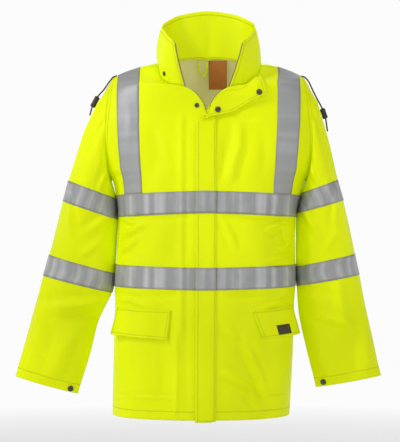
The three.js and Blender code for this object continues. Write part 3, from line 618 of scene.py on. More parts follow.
def spread(count, length_between):
    """Places about a grain apart over a count of cells, one on each line between cells."""
    places = []
    for a in range(count):
        steps = max(1, int(round(length_between(a, a + 1) / GRAIN)))
        places += list(np.linspace(a, a + 1, steps, endpoint=False))
    return np.array(places + [count])


def place_of(level, column):
    return panel_points(FRONT, -1, np.array([float(level)]), np.array([float(column)]))[0]


def tallest(a, b):
    """The longer of the inner and outer edges between two levels."""
    return max(np.linalg.norm(place_of(a, column) - place_of(b, column)) for column in (0, 10))


def widest(a, b):
    """The wider of a low and a high row between two columns."""
    return max(np.linalg.norm(place_of(level, a) - place_of(level, b)) for level in (2, 9))


LEVEL_PLACES = spread(LEVEL["shoulder"], tallest)
COLUMN_PLACES = spread(COLUMNS["outerX"], widest)


def half_panel(rows, side, levels=LEVEL_PLACES, columns=COLUMN_PLACES):
    level, column = np.meshgrid(levels, columns, indexing="ij")
    return large_folds(panel_points(rows, side, level, column))


def between(places, low, high):
    return places[(places >= low - NEAR) & (places <= high + NEAR)]


BAND_EDGES = (-290, -342, -459, -511)

# Creases, each its points, width, height, kind, and how much of it fades at each end
PIXEL = 2.22
PHOTO_MIDDLE = (200, 221)
VIEW_DISTANCE = 3500
CLOTH_BEHIND = 20  # how far the fronts are behind the plane where a pixel has its stated size
# Creases of the fronts, along lines read off the photograph in its pixels
FRONT_CREASES = [
    ([(184, 108), (184, 250), (183, 422)], 8, 1.6, "step", 0.05),
    ([(240, 112), (238, 147), (226, 190)], 11, 2.6, "pinch", 0.3),
    ([(150, 118), (156, 150), (152, 186)], 13, -1.8, "ridge", 0.35),
    ([(120, 217), (160, 219), (195, 217)], 6, -1.6, "ridge", 0.2),
    ([(219, 217), (250, 219), (288, 216)], 6, -1.8, "ridge", 0.2),
    ([(219, 216), (230, 233), (238, 253)], 7, 2.2, "pinch", 0.35),
    ([(262, 232), (276, 226), (293, 219)], 6, 3.4, "pinch", 0.35),
    ([(276, 252), (285, 248), (295, 240)], 6, 3.0, "pinch", 0.35),
    ([(264, 262), (280, 258), (297, 252)], 6, 2.6, "pinch", 0.35),
    ([(279, 212), (284, 228), (288, 250)], 7, -2.4, "ridge", 0.4),
    ([(121, 217), (130, 222), (143, 222)], 6, 2.6, "pinch", 0.35),
    ([(120, 237), (132, 231), (146, 223)], 6, 3.0, "pinch", 0.35),
    ([(117, 254), (128, 247), (139, 235)], 6, 2.6, "pinch", 0.35),
    ([(160, 226), (172, 244), (176, 262)], 10, -1.8, "ridge", 0.4),
    ([(258, 309), (276, 304), (293, 298)], 5, 2.2, "pinch", 0.35),
    ([(114, 302), (130, 301), (149, 307)], 5, 2.0, "pinch", 0.35),
    ([(112, 294), (140, 297), (190, 294)], 6, -1.3, "ridge", 0.25),
    ([(219, 295), (250, 297), (290, 293)], 6, -1.4, "ridge", 0.25),
    ([(226, 328), (232, 334), (240, 342)], 7, 2.2, "pinch", 0.4),
    ([(241, 338), (256, 366), (272, 400)], 8, 3.0, "pinch", 0.3),
    ([(217, 368), (233, 379), (250, 390), (266, 414)], 8, 2.6, "pinch", 0.3),
    ([(179, 328), (179, 380), (178, 422)], 7, 2.2, "step", 0.15),
    ([(112, 397), (145, 396), (178, 397)], 4, 1.5, "step", 0.12),
    ([(250, 397), (270, 396), (290, 397)], 4, 1.5, "step", 0.2),
    ([(132, 345), (134, 370), (130, 405)], 12, -1.8, "ridge", 0.4),
    ([(155, 345), (158, 372), (156, 400)], 10, 1.5, "ridge", 0.4),
    ([(222, 135), (226, 160), (222, 188)], 9, -1.6, "ridge", 0.35),
    ([(163, 128), (168, 160), (170, 186)], 10, 1.4, "ridge", 0.4),
    ([(262, 120), (266, 150), (262, 186)], 12, -1.6, "ridge", 0.35),
    ([(230, 112), (245, 118), (262, 118)], 7, -1.8, "ridge", 0.3),
    ([(130, 195), (127, 150), (131, 100)], 8, 0.8, "ridge", 0.3),
]
# Creases of the back below and beside the hood, in millimetres
BACK_CREASES = [
    ([(-150, -345), (-70, -352), (0, -348), (90, -352), (160, -345)], 6, -1.5, "ridge", 0.1),
    ([(-160, -452), (-60, -452), (40, -450), (160, -453)], 6, -1.3, "ridge", 0.1),
    ([(-180, -360), (-150, -400), (-120, -450)], 9, 3.0, "pinch", 0.3),
    ([(-190, -390), (-165, -430), (-150, -450)], 7, 2.4, "pinch", 0.3),
    ([(180, -358), (150, -398), (112, -448)], 9, 3.2, "pinch", 0.3),
    ([(190, -396), (160, -436), (148, -452)], 7, 2.4, "pinch", 0.3),
    ([(-30, -372), (-38, -410), (-30, -448)], 12, 2.0, "ridge", 0.35),
    ([(52, -372), (60, -410), (50, -448)], 12, -2.0, "ridge", 0.35),
    ([(-96, -540), (-100, -640), (-90, -770)], 14, 3.0, "pinch", 0.25),
    ([(-42, -560), (-36, -660), (-44, -780)], 14, -2.6, "ridge", 0.25),
    ([(28, -530), (34, -640), (26, -780)], 14, 3.0, "pinch", 0.25),
    ([(98, -560), (92, -670), (100, -780)], 14, -2.8, "ridge", 0.25),
    ([(150, -540), (156, -650), (148, -760)], 12, 2.6, "pinch", 0.25),
    ([(-148, -540), (-154, -650), (-146, -760)], 12, 2.4, "pinch", 0.25),
]


def image_line(points):
    """A line in photograph pixels, as x and z on the fronts."""
    scale = PIXEL * (1 + CLOTH_BEHIND / VIEW_DISTANCE)
    middle_x, middle_z = CAMERA_PLACE[0] / MM, CAMERA_PLACE[2] / MM
    return [
        (middle_x + (x - PHOTO_MIDDLE[0]) * scale, middle_z - (y - PHOTO_MIDDLE[1]) * scale)
        for x, y in points
    ]


CREASES = {-1: [(image_line(points), *shape) for points, *shape in FRONT_CREASES], 1: BACK_CREASES}


def crease_shape(s, kind):
    """A crease's section: a ridge, a step, or a ridge pinched up between two hollows."""
    if kind == "step":
        return 1.9 * s * bell(s)
    if kind == "pinch":
        return bell(s) - 0.55 * bell(np.abs(s) - 1.9)
    return bell(s)


def crease_height(x, z, crease):
    """Height of one crease over some places: a soft line that fades at both ends."""
    points, width, height, kind, fade = crease
    best = np.full(x.shape, 1e9)
    signed = np.zeros(x.shape)
    where = np.zeros(x.shape)
    lengths = [math.dist(a, b) for a, b in zip(points, points[1:])]
    run = 0
    for (ax, az), (bx, bz), length in zip(points, points[1:], lengths):
        ux, uz = (bx - ax) / length, (bz - az) / length
        held = np.clip((x - ax) * ux + (z - az) * uz, 0, length)
        off = np.hypot(x - ax - ux * held, z - az - uz * held)
        side = np.sign((x - ax) * uz - (z - az) * ux)
        near = off < best
        best = np.where(near, off, best)
        signed = np.where(near, side * off, signed)
        where = np.where(near, (run + held) / sum(lengths), where)
        run += length
    taper = ease(where / fade) * ease((1 - where) / fade)
    return height * crease_shape(signed / width, kind) * taper


def tape_pucker(x, z, seed):
    """Short upright puckers that sewn tape makes in cloth."""
    return ripple(x, z * 0.15, 16, seed) * 0.55 + ripple(x, z * 0.3, 34, seed + 2) * 0.5


def near_bands(z):
    """How near a place is to the edges of the two bands round the body, 1 at an edge."""
    return np.max([bell((z - edge) / 13) for edge in BAND_EDGES], axis=0)


def body_detail(points, face, fade):
    """Moves body points by the creases, the tapes' puckers and a slight unevenness."""
    x, y, z = np.moveaxis(points, -1, 0)
    around = x + y * face
    high = sum(crease_height(x, z, crease) for crease in CREASES[face]) * BODY_DEPTH
    high = high * ease(np.abs(y) / 60)
    high = high + ripple(around, z * 0.45, 95, 3 + face) * 0.9
    high = high + ripple(around, z, 42, 5 + face) * 0.35
    high = high + tape_pucker(around, z, 7 + face) * near_bands(z)
    out = unit(np.stack([x * 0.8, y * 1.3, np.clip(z + 90, 0, 100) * 1.6], axis=-1))
    return points + out * (high * fade)[..., None]


def panel(rows, side, levels=LEVEL_PLACES, columns=COLUMN_PLACES):
    """Half a front or back with all its folds, which fade out at the armhole and the neck."""
    level, column = np.meshgrid(levels, columns, indexing="ij")
    armhole = np.where(level >= LEVEL["underarm"] - 0.5, ease((COLUMNS["outerX"] - column) / 0.7), 1)
    neck = np.where(level >= LEVEL["neckFront"] - 0.5, ease(column / 0.9), 1)
    return body_detail(half_panel(rows, side, levels, columns), -1 if rows is FRONT else 1, armhole * neck)


# Sleeve creases from one section and turn to another: turns are 0 at the outer edge, 90 in front
SLEEVE_CREASES = {
    -1: [
        (0.4, 22, 2.6, 30, 9, 2.2, "pinch"),
        (0.4, 75, 2.6, 60, 9, -2.2, "ridge"),
        (1.0, 130, 2.8, 112, 8, 2.4, "pinch"),
        (3.2, 38, 5.0, 62, 9, 2.4, "pinch"),
        (3.6, 150, 4.8, 96, 8, 2.4, "pinch"),
        (5.0, 120, 5.7, 88, 7, 1.8, "ridge"),
        (6.9, 20, 9.0, 50, 10, 2.6, "pinch"),
        (7.2, 165, 7.9, 70, 9, 3.4, "pinch"),
        (7.7, 160, 8.2, 95, 8, -2.8, "ridge"),
        (8.4, 105, 10.2, 92, 9, 2.0, "pinch"),
        (8.9, 40, 9.5, 75, 8, 1.8, "ridge"),
    ],
    1: [
        (0.4, 20, 2.9, 28, 9, 2.4, "pinch"),
        (0.5, 62, 2.9, 52, 9, -2.4, "ridge"),
        (0.8, 128, 2.8, 104, 8, 2.4, "pinch"),
        (3.0, 46, 4.8, 66, 9, 2.2, "pinch"),
        (3.6, 150, 5.0, 104, 8, 2.4, "pinch"),
        (4.9, 60, 5.6, 92, 7, 1.6, "ridge"),
        (6.9, 78, 8.5, 74, 9, 2.8, "pinch"),
        (8.1, 110, 8.6, 60, 7, 2.8, "pinch"),
        (7.1, 160, 7.6, 112, 8, 2.6, "pinch"),
        (8.8, 36, 10.2, 52, 9, 2.0, "pinch"),
        (8.9, 138, 10.2, 118, 8, 1.8, "ridge"),
    ],
}
INNER_CREASES = [  # on the side towards the body, of both sleeves
    (2.2, 215, 3.0, 260, 9, 2.6, "pinch"),
    (4.6, 205, 5.4, 262, 9, 2.6, "pinch"),
    (6.6, 200, 7.8, 270, 9, 3.2, "pinch"),
    (8.0, 205, 8.8, 280, 9, 2.4, "pinch"),
    (0.8, 290, 2.8, 300, 10, 2.2, "pinch"),
]
SLEEVE_STEPS = [10, 14, 22, 10, 13, 13, 10, 15, 15, 14, 5]
SLEEVE_PLACES = np.array([i + k / n for i, n in enumerate(SLEEVE_STEPS) for k in range(n)] + [11.0])
BAND_SECTIONS = {1: (3, 4), 2: (6, 7)}


def armhole_ring(side):
    """The armhole as a ring of points: underarm, up the back, shoulder, down the front."""
    levels = LEVEL_PLACES[LEVEL_PLACES >= LEVEL["underarm"] - NEAR]
    last = np.full_like(levels, COLUMNS["outerX"])
    front, back = (large_folds(panel_points(rows, side, levels, last)) for rows in (FRONT, BACK))
    return np.concatenate([back, front[::-1][1:]])


def sleeve_folds(side, place, degrees):
    """Height of the large folds on one ring of a sleeve."""
    high = np.zeros(len(degrees))
    for fold_side, at, round_at, length, width, height in SLEEVE_FOLDS:
        if fold_side == side:
            high += height * bell((place - 1 - at) / length, (degrees - round_at) / width)
    return high


def sleeve_detail(side, place, degrees, size):
    """Height of the creases, the tapes' puckers and the unevenness on one ring of a sleeve.

    size is the ring's length for one degree.
    """
    around = degrees * size
    high = np.zeros(len(degrees))
    for begin, turn, end, to_turn, width, height, kind in SLEEVE_CREASES[side] + INNER_CREASES:
        t = (place - begin) / (end - begin)
        held = np.clip(t, 0, 1)
        beyond = abs(t - held) * (end - begin) * SECTION_STEP
        slope = (to_turn - turn) * size / ((end - begin) * SECTION_STEP)
        off = (around - mix(turn, to_turn, held) * size) / math.sqrt(1 + slope ** 2)
        taper = ease(held / 0.3) * ease((1 - held) / 0.3) * 0.6 + 0.4
        shape = crease_shape(off / width, kind) * bell(beyond / width) * taper
        high += SLEEVE_DEPTH * height * shape
    down = np.full_like(around, place * SECTION_STEP)
    high += ripple(around, down * 0.6, 80, 11 + side) * 0.8
    near_tape = max(bell((place - edge) * 50 / 13) for edges in BAND_SECTIONS.values() for edge in edges)
    return high + tape_pucker(around, down, 13 + side) * near_tape


def sleeve_points(side, places=SLEEVE_PLACES):
    """A sleeve's surface: rows from the armhole to the cuff, columns round from the underarm."""
    ring = armhole_ring(side)
    count = len(ring)
    middle = (ring[count // 2] + ring[0]) / 2
    half = ring[count // 2] - middle
    reach = np.linalg.norm(half)
    own = np.unwrap(np.arctan2(-(ring - middle)[:, 1] / reach, (ring - middle) @ half / reach ** 2))
    own = own - own[count // 2]
    own[0], own[-1] = -math.pi, math.pi
    even = np.linspace(-math.pi, math.pi, count)
    seam_fade = ease((math.pi - np.abs(even)) / 0.35)
    rows = []
    for place in places:
        section = read_table(SLEEVES[side], max(place - 1, 0))
        turn = mix(own, even, min(place / RINGS_FROM_ARMHOLE, 1))
        degrees = np.degrees(turn) % 360
        outer, inner = (
            np.array([side * section[f"{edge}X"], section["middleY"], section[f"{edge}Z"]])
            for edge in ("outer", "inner")
        )
        centre = (outer + inner) / 2
        points = centre + (outer - centre) * np.cos(turn)[:, None]
        points[:, 1] -= section["halfDepth"] * np.sin(turn)
        out = unit(points - centre)
        points = points + out * sleeve_folds(side, place, degrees)[:, None]
        if place < 1:
            points = mix(ring, points, place)
            out = unit(points - mix(middle, centre, place))
        size = max(section["halfDepth"], 40) * math.pi / 180
        high = sleeve_detail(side, place, degrees, size) * seam_fade * ease(place / 0.5)
        rows.append(points + out * high[:, None])
    rows = np.array(rows)
    rows[:, 0] = rows[:, -1] = (rows[:, 0] + rows[:, -1]) / 2
    return rows


# Ways that a piece's outside faces, fixed or worked out from its points
TO_FRONT = np.array([0.0, -1.0, 0.0])
TO_BACK = np.array([0.0, 1.0, 0.2])


def body_outward(points):
    x, y, z = np.moveaxis(points, -1, 0)
    return np.stack([x * 0.6, y * 1.2, np.where(z > -80, 60, 0)], axis=-1)


def ring_outward(points):
    return points - points.mean(axis=1, keepdims=True)


def level_outward(points):
    return unit(points * [1, 1, 0])


# Cloth pieces
def surface_normals(points, outward):
    """Unit normals of a grid of points, on the side that outward says."""
    normals = unit(np.cross(np.gradient(points, axis=1), np.gradient(points, axis=0)))
    return -normals if np.sum(normals * outward) < 0 else normals


def lifted(points, outward, high):
    """A grid moved off its surface by some height."""
    high = np.broadcast_to(np.asarray(high, float), points.shape[:2])
    return points + surface_normals(points, outward) * high[..., None]


def flat_map(points):
    """Lengths in metres along the rows and down the columns of a grid, for its material."""
    along = np.linalg.norm(np.diff(points, axis=1), axis=2).cumsum(axis=1)
    down = np.linalg.norm(np.diff(points, axis=0), axis=2).cumsum(axis=0)
    return np.pad(along, ((0, 0), (1, 0))) * MM, np.pad(down, ((1, 0), (0, 0))) * MM


def add_grid(bm, points, outward):
    """Adds a grid of points to a mesh, mapped by lengths from its near and its far edges."""
    rows, cols = points.shape[:2]
    u, v = flat_map(points)
    made = bmesh.ops.create_grid(bm, x_segments=cols - 1, y_segments=rows - 1, size=1)["verts"]
    place = {}
    for vert in made:
        i = int(round((vert.co.y + 1) / 2 * (rows - 1)))
        j = int(round((vert.co.x + 1) / 2 * (cols - 1)))
        place[vert] = (i, j)
        vert.co = Vector(points[i, j] * MM)
    near, far = (bm.loops.layers.uv[name] for name in ("near", "far"))
    faces = {face for vert in made for face in vert.link_faces}
    for face in faces:
        for loop in face.loops:
            i, j = place[loop.vert]
            loop[near].uv = (u[i, j], v[i, j])
            loop[far].uv = (u[i, -1] - u[i, j], v[-1, j] - v[i, j])
    normals = np.cross(np.gradient(points, axis=1), np.gradient(points, axis=0))
    if np.sum(normals * outward) < 0:
        bmesh.ops.reverse_faces(bm, faces=list(faces))


def cloth_piece(
    name, node, grids, outward, thickness, materials,
    slot="coated_cloth", cut=None,
):
    """A sheet made of one or more grids of points, joined where they meet, in place of a node.

    cut is a place and a direction: what lies past that place in that direction is cut off.
    """
    bm = bmesh.new()
    for layer in ("near", "far"):
        bm.loops.layers.uv.new(layer)
    for points in grids:
        add_grid(bm, points, outward(points) if callable(outward) else outward)
    if len(grids) > 1:
        bmesh.ops.remove_doubles(bm, verts=bm.verts, dist=0.00005)
    if cut:
        place, direction = Vector(cut[0]) * MM, cut[1]
        whole = bm.verts[:] + bm.edges[:] + bm.faces[:]
        bmesh.ops.bisect_plane(bm, geom=whole, plane_co=place, plane_no=direction, clear_outer=True)
    piece = mesh_piece(name, bm, materials)
    solid = piece.modifiers.new("thickness", "SOLIDIFY")
    solid.thickness = thickness * MM
    solid.offset = -1
    solid.use_rim = True
    solid.material_offset = len(materials) - 1
    hold(piece, slot, node)


# Rows of stitches on each cloth: map, axis, and millimetres from the edge
STITCHES = {
    "front": "near v 20, far u 5, far v 5",
    "back": "near v 20, far u 5, far v 5",
    "sleeve": "near v 5, far v 21, near u 4",
    "flap": "near u 6, far u 4, near v 6",
    "chin": "near u 6, far u 6, far v 6",
    "pocket": "near v 5, far v 6, near u 6, far u 6",
    "hood": "near v 22, near u 4, far u 4",
}
cloths = {name: cloth_material(f"{name}_cloth", rows) for name, rows in STITCHES.items()}
lining = lining_material()
cloths["collar"] = cloth_material("collar_cloth", "far v 9, near v 4, near u 6, far u 6", 0.0005)
# the two colours of each tape are its painted shade and its painted highlight
band_tape = tape_material("band_tape", "v", (0.36, 0.365, 0.37, 1), (0.66, 0.67, 0.66, 1))
brace_tape = tape_material("brace_tape", "u", (0.39, 0.395, 0.40, 1), (0.47, 0.475, 0.48, 1))


def tape_piece(name, node, grids, outward, material=band_tape):
    cloth_piece(name, node, grids, outward, TAPE, [material], "reflective_tape")


# Fronts and back
fronts = {side: panel(FRONT, side) for side in SIDES}
backs = [panel(BACK, side) for side in SIDES]
for side, name in SIDES.items():
    node = f"front_{name}"
    cloth_piece(f"{node}_cloth", node, [fronts[side]], body_outward, CLOTH, [cloths["front"], lining])
cloth_piece("back_cloth", "back", backs, body_outward, CLOTH, [cloths["back"], lining])

# Sleeves and their bands
sleeves = {side: sleeve_points(side) for side in SIDES}
for side, name in SIDES.items():
    cloth = f"sleeve_{name}_cloth"
    cloth_piece(cloth, f"sleeve_{name}", [sleeves[side]], ring_outward, CLOTH, [cloths["sleeve"], lining])
    for band, sections in BAND_SECTIONS.items():
        rows = sleeve_points(side, between(SLEEVE_PLACES, *sections))
        tape = lifted(rows, ring_outward(rows), LIFT + TAPE)
        tape[:, 0] = tape[:, -1] = (tape[:, 0] + tape[:, -1]) / 2
        tape_piece(f"sleeve_{name}_tape_{band}", f"sleeve_band_{band}_{name}", [tape], ring_outward)


# Bands round the body and braces over the shoulders
def tape_grid(rows, side, low, high, first, last):
    """Tape on half a front or back, from one level and column to another."""
    levels = between(LEVEL_PLACES, LEVEL[low], LEVEL[high])
    columns = between(COLUMN_PLACES, COLUMNS[first], COLUMNS[last])
    grid = panel(rows, side, levels, columns)
    return lifted(grid, body_outward(grid), LIFT + TAPE)


for band in ("chest", "waist"):
    edges = (f"{band}Bottom", f"{band}Top")
    for side, name in SIDES.items():
        grid = tape_grid(FRONT, side, *edges, "innerX" if side < 0 else "flapX", "outerX")
        node = f"{band}_band_front_{name}"
        tape_piece(f"{band}_tape_front_{name}", node, [grid], body_outward)
    grids = [tape_grid(BACK, side, *edges, "innerX", "outerX") for side in SIDES]
    tape_piece(f"{band}_tape_back", f"{band}_band_back", grids, body_outward)
for side, name in SIDES.items():
    grids = [tape_grid(rows, side, "chestTop", "shoulder", "braceX", "braceEndX") for rows in (FRONT, BACK)]
    grids[0][-1] = grids[1][-1] = (grids[0][-1] + grids[1][-1]) / 2
    cloth = [f"front_{name}_cloth", "back_cloth"]
    tape_piece(f"brace_{name}_tape", f"brace_{name}", grids, body_outward, brace_tape)

# Storm flap: stitched along the left front, its free edge over the right front
FOLD_LINE = ((-3, -115, -106), (-25, 0, 17))  # a place on the chin fold, and the way off the flap there


def flap_grid(low, high, over=0.0):
    levels = between(LEVEL_PLACES, LEVEL[low], LEVEL[high])
    columns = between(COLUMN_PLACES, 0, COLUMNS["flapX"])
    right, left = (panel(FRONT, side, levels, columns) for side in SIDES)
    grid = np.concatenate([right[:, ::-1], left], axis=1)
    free = 1 - np.linspace(0, 1, grid.shape[1])[None, :]
    uneven = 0.5 + 0.5 * ripple(grid[..., 2], np.zeros(grid.shape[:2]), 150, 21)
    rise = 0.5 + 1.9 * ease(free * 3) + 1.2 * uneven * free ** 3
    return lifted(grid, body_outward(grid), rise + FLAP_CLOTH + over)


flap = flap_grid("hem", "zipTop")
cloth_piece(
    "storm_flap_cloth", "storm_flap", [flap], body_outward, FLAP_CLOTH, [cloths["flap"]],
    cut=FOLD_LINE,
)
for band in ("chest", "waist"):
    grid = flap_grid(f"{band}Bottom", f"{band}Top", LIFT + TAPE)
    tape_piece(f"{band}_tape_flap", f"{band}_band_flap", [grid], body_outward)

# Collar
COLLAR_RISE = np.linspace(0, 1, 30)[:, None]
NAPE = 6  # the nape's place along half a neckline
NAPE_LAP = 7  # how far the collar laps down inside the back at the nape
COLLAR_FOLDS = [
    (0.55, 0.5, 0.24, -1.6), (1.25, -0.5, 0.3, 2.0), (2.0, 0.5, 0.35, -1.8), (2.8, -0.3, 0.34, 2.0),
    (3.8, 0.3, 0.4, -2.0), (4.8, 0.2, 0.3, 2.0), (5.5, -0.2, 0.25, -1.8), (6.2, 0.2, 0.3, 1.8),
    (7.0, -0.3, 0.35, -2.2), (8.0, 0.3, 0.4, 2.0), (9.0, 0.4, 0.3, -1.8), (9.9, -0.5, 0.3, 2.0),
    (10.7, -0.8, 0.26, -2.0), (11.4, 0.4, 0.22, 1.6),
]


def leaning_folds(rows, across, along):
    """Height of folds, each given as its place across, lean along, width and height."""
    return sum(high * bell((across - at - lean * along) / width) for at, lean, width, high in rows)


def neckline(side):
    """Points of half a neckline from front to nape, and their places in COLLAR_TOP."""
    levels = LEVEL_PLACES[LEVEL_PLACES >= LEVEL["neckFront"] - NEAR]
    front, back = (panel(rows, side, levels, np.array([0.0, 1.0]))[:, 0] for rows in (FRONT, BACK))
    marks = levels - LEVEL["neckFront"]
    return np.concatenate([front, back[::-1][1:]]), np.concatenate([marks, (NAPE - marks)[::-1][1:]])


def collar_half(side):
    """Half the collar without folds, from the neckline to the top, and the neckline's places."""
    base, marks = neckline(side)
    top = read_table(COLLAR_TOP, marks)
    end = np.stack([side * top["topX"], top["topY"], top["topZ"]], axis=-1)
    height = COLLAR_RISE[..., None]
    half = mix(base, end, height)
    half[..., 2] -= NAPE_LAP * bell((marks - NAPE) / 0.9) * (1 - COLLAR_RISE) ** 3
    return half + level_outward(end) * top["bulge"][:, None] * 4 * height * (1 - height), marks


def collar_points():
    """The whole collar with its folds, and the way off it."""
    right, marks = collar_half(-1)
    left, _ = collar_half(1)
    whole = np.concatenate([right, left[:, ::-1][:, 1:]], axis=1)
    way = np.concatenate([marks, (2 * NAPE - marks)[::-1][1:]])
    high = leaning_folds(COLLAR_FOLDS, way, COLLAR_RISE - 0.5) * ease(COLLAR_RISE / 0.25)
    high = high * (1 - 0.4 * COLLAR_RISE)
    pucker = 0.55 * ripple(way[None, :] * 55, COLLAR_RISE * 10, 15, 31)
    high = high + pucker * bell((COLLAR_RISE - 0.9) / 0.09)
    out = level_outward(whole)
    return whole + out * high[..., None], out


collar, collar_out = collar_points()
cloth_piece("collar_cloth", "collar", [collar], level_outward, COLLAR_CLOTH, [cloths["collar"]])


# Cloth laid on other cloth
def tree_of(*grids):
    """The surface of some grids, for finding places on it."""
    verts, faces = [], []
    for grid in grids:
        rows, cols = grid.shape[:2]
        corners = np.arange(rows * cols).reshape(rows, cols) + len(verts)
        verts += grid.reshape(-1, 3).tolist()
        a, b, c, d = corners[:-1, :-1], corners[:-1, 1:], corners[1:, 1:], corners[1:, :-1]
        faces += np.stack([a, b, c, d], axis=-1).reshape(-1, 4).tolist()
    return BVHTree.FromPolygons(verts, faces)


def laid_at(tree, x, z, way=1):
    """The place and outward normal of cloth seen at x and z from the front, or with way -1 from behind."""
    found, normal, _, _ = tree.ray_cast(Vector((x, -900 * way, z)), Vector((0, way, 0)))
    if found is None:
        found, normal, _, _ = tree.find_nearest(Vector((x, -120 * way, z)))
    if normal.y * way > 0:
        normal = -normal
    return np.array(found), np.array(normal)


def laid_grid(tree, ends, cells):
    """A grid laid on the fronts between two ends of each row, with soft normals."""
    across = np.linspace(0, 1, cells + 1)
    rows = zip(*(ends[name] for name in ("x", "z", "toX", "toZ")))
    laid = [[laid_at(tree, mix(x, to_x, t), mix(z, to_z, t)) for t in across] for x, z, to_x, to_z in rows]
    points, normals = np.moveaxis(np.array(laid), 2, 0)
    for _ in range(3):
        soft = normals.copy()
        soft[1:-1] = (normals[:-2] + normals[1:-1] + normals[2:]) / 3
        soft[:, 1:-1] = (soft[:, :-2] + soft[:, 1:-1] + soft[:, 2:]) / 3
        normals = unit(soft)
    return points, normals


smooth_fronts = tree_of(*(half_panel(FRONT, side) for side in SIDES))
smooth_back = tree_of(*(half_panel(BACK, side) for side in SIDES))

# Chin flap: the upper end of the storm flap, folded out over the left front
CHIN = table("x z toX toZ rise", [
    (-3, -106, -20, -131, 7.4),
    (22, -73, 8, -125, 6.6),
    (42, -60, 36, -119, 4.6),
    (64, -57, 59, -111, 3.4),
    (88, -50, 86, -94, 4.5),
    (106, -38, 110, -81, 7),
    (117, -31, 131, -74, 7),
])


def chin_points():
    """The chin flap, standing off by the table's rise and a low crown."""
    places = np.linspace(0, 6, 42)
    ends = read_table(CHIN, places)
    points, normals = laid_grid(smooth_fronts, ends, 16)
    place, across = places[:, None], np.linspace(0, 1, 17)[None, :]
    crown = 2.2 * np.sin(math.pi * across) * ease(place / 1.5) * ease(6 - place)
    uneven = 0.7 * ripple(place * 22, across * 45, 46, 41)
    return points + normals * (ends["rise"][:, None] + crown + uneven + FLAP_CLOTH)[..., None]


chin = chin_points()
cloth_piece(
    "chin_flap_cloth", "chin_flap", [chin], TO_FRONT, FLAP_CLOTH, [cloths["chin"]],
)

# Pocket flaps: sewn along the top, standing off lower down and round to the sides
POCKETS = {
    -1: table("x z toX toZ", [(-84, -556, -206, -552), (-88, -590, -207, -584), (-91, -622, -208, -614)]),
    1: table("x z toX toZ", [(96, -557, 189, -549), (108, -590, 191, -582), (119, -621, 193, -613)]),
}
SEAM_STAND = 1.2
FREE_STAND = (5.5, 15)  # of the free edge, in front and at the side


def pocket_points(side):
    """A pocket flap, standing off the front by a little more from its seam down."""
    down = np.linspace(0, 1, 17)
    points, normals = laid_grid(smooth_fronts, read_table(POCKETS[side], down * 2), 28)
    down, across = down[:, None], np.linspace(0, 1, 29)[None, :]
    stand = mix(SEAM_STAND, mix(*FREE_STAND, across ** 2), ease(down * 0.9) ** 0.8)
    wave = 1.5 * ripple(across * 120, down * 30, 60, 43 + side) - 1.2 * np.sin(math.pi * across)
    return points + normals * (stand + FLAP_CLOTH + wave * down)[..., None]


pockets = {side: pocket_points(side) for side in SIDES}
for side, name in SIDES.items():
    node = f"pocket_flap_{name}"
    cloth_piece(
        f"{node}_cloth", node, [pockets[side]], TO_FRONT, FLAP_CLOTH, [cloths["pocket"]],
    )

# Bare patch on the left pocket flap
patch_cloth = plain_material("patch_cloth", (0.075, 0.062, 0.02), (0.045, 0.04, 0.015), 0.8, scale=300)
patch = lifted(pockets[1][9:15, 13:23], TO_FRONT, 1.0)
cloth_piece(
    "pocket_patch_cloth", "pocket_patch", [patch], TO_FRONT, 0.8, [patch_cloth], "dark_patch",
)

# Hood: lies down behind the shoulders
HOOD = table("down halfWidth stand", [
    (0, 213, 6.6), (0.18, 210, 14), (0.45, 194, 25), (0.75, 160, 23), (1, 112, 4),
])
HOOD_FOLDS = [
    (-0.78, 0.10, 0.055, 3.4), (-0.6, 0.16, 0.06, -3.6), (-0.42, 0.12, 0.07, 4.4), (-0.2, 0.05, 0.08, -4.2),
    (0.02, 0.02, 0.07, 4.6), (0.24, -0.08, 0.08, -4.0), (0.45, -0.14, 0.07, 4.2), (0.63, -0.16, 0.06, -3.4),
    (0.8, -0.1, 0.055, 3.2),
]
HOOD_ROWS = 66
HOOD_COLUMNS = 85
HOOD_EDGE = 6.6  # how far its sides stand off the back
HOOD_TOP = (10, -25.5)  # z of its upper edge in the middle and at the sides
HOOD_FOOT = (-318, -262)


def hood_lying():
    """The hood without folds, laid on the back and standing off it by its table."""
    rows = read_table(HOOD, np.linspace(0, 4, HOOD_ROWS))
    grid = []
    for down, half_width, stand in zip(rows["down"], rows["halfWidth"], rows["stand"]):
        row = []
        for a in np.linspace(-1, 1, HOOD_COLUMNS):
            z = mix(mix(*HOOD_TOP, abs(a) ** 1.4), mix(*HOOD_FOOT, a ** 2), down)
            point, normal = laid_at(smooth_back, a * half_width, z, -1)
            row.append(point + normal * mix(stand, HOOD_EDGE, a ** 4))
        grid.append(row)
    return np.array(grid)


def hood_points():
    """The hood with its folds, which fade at its edges."""
    across = np.linspace(-1, 1, HOOD_COLUMNS)[None, :]
    down = np.linspace(0, 1, HOOD_ROWS)[:, None]
    sides = 1 - np.abs(across)
    high = leaning_folds(HOOD_FOLDS, across, down)
    high = high * ease(down / 0.3) * ease((1 - down) / 0.12) * (1 - 0.5 * across ** 4)
    high = high + 1.8 * bell((down - 0.16) / 0.05) * ease(sides / 0.2)
    high = high + 0.9 * ripple(across * 200, down * 300, 70, 51) * ease(sides / 0.1)
    return lifted(hood_lying(), TO_BACK, HOOD_DEPTH * high)


cloth_piece(
    "hood_cloth", "hood", [hood_points()], TO_BACK, CLOTH, [cloths["hood"], lining],
)

# Bare neck label inside the back
LABEL_PLACE = (22, 79.7, -13)
LABEL_SIZE = (43, 68)
LABEL_TURN = math.radians(-7.5)


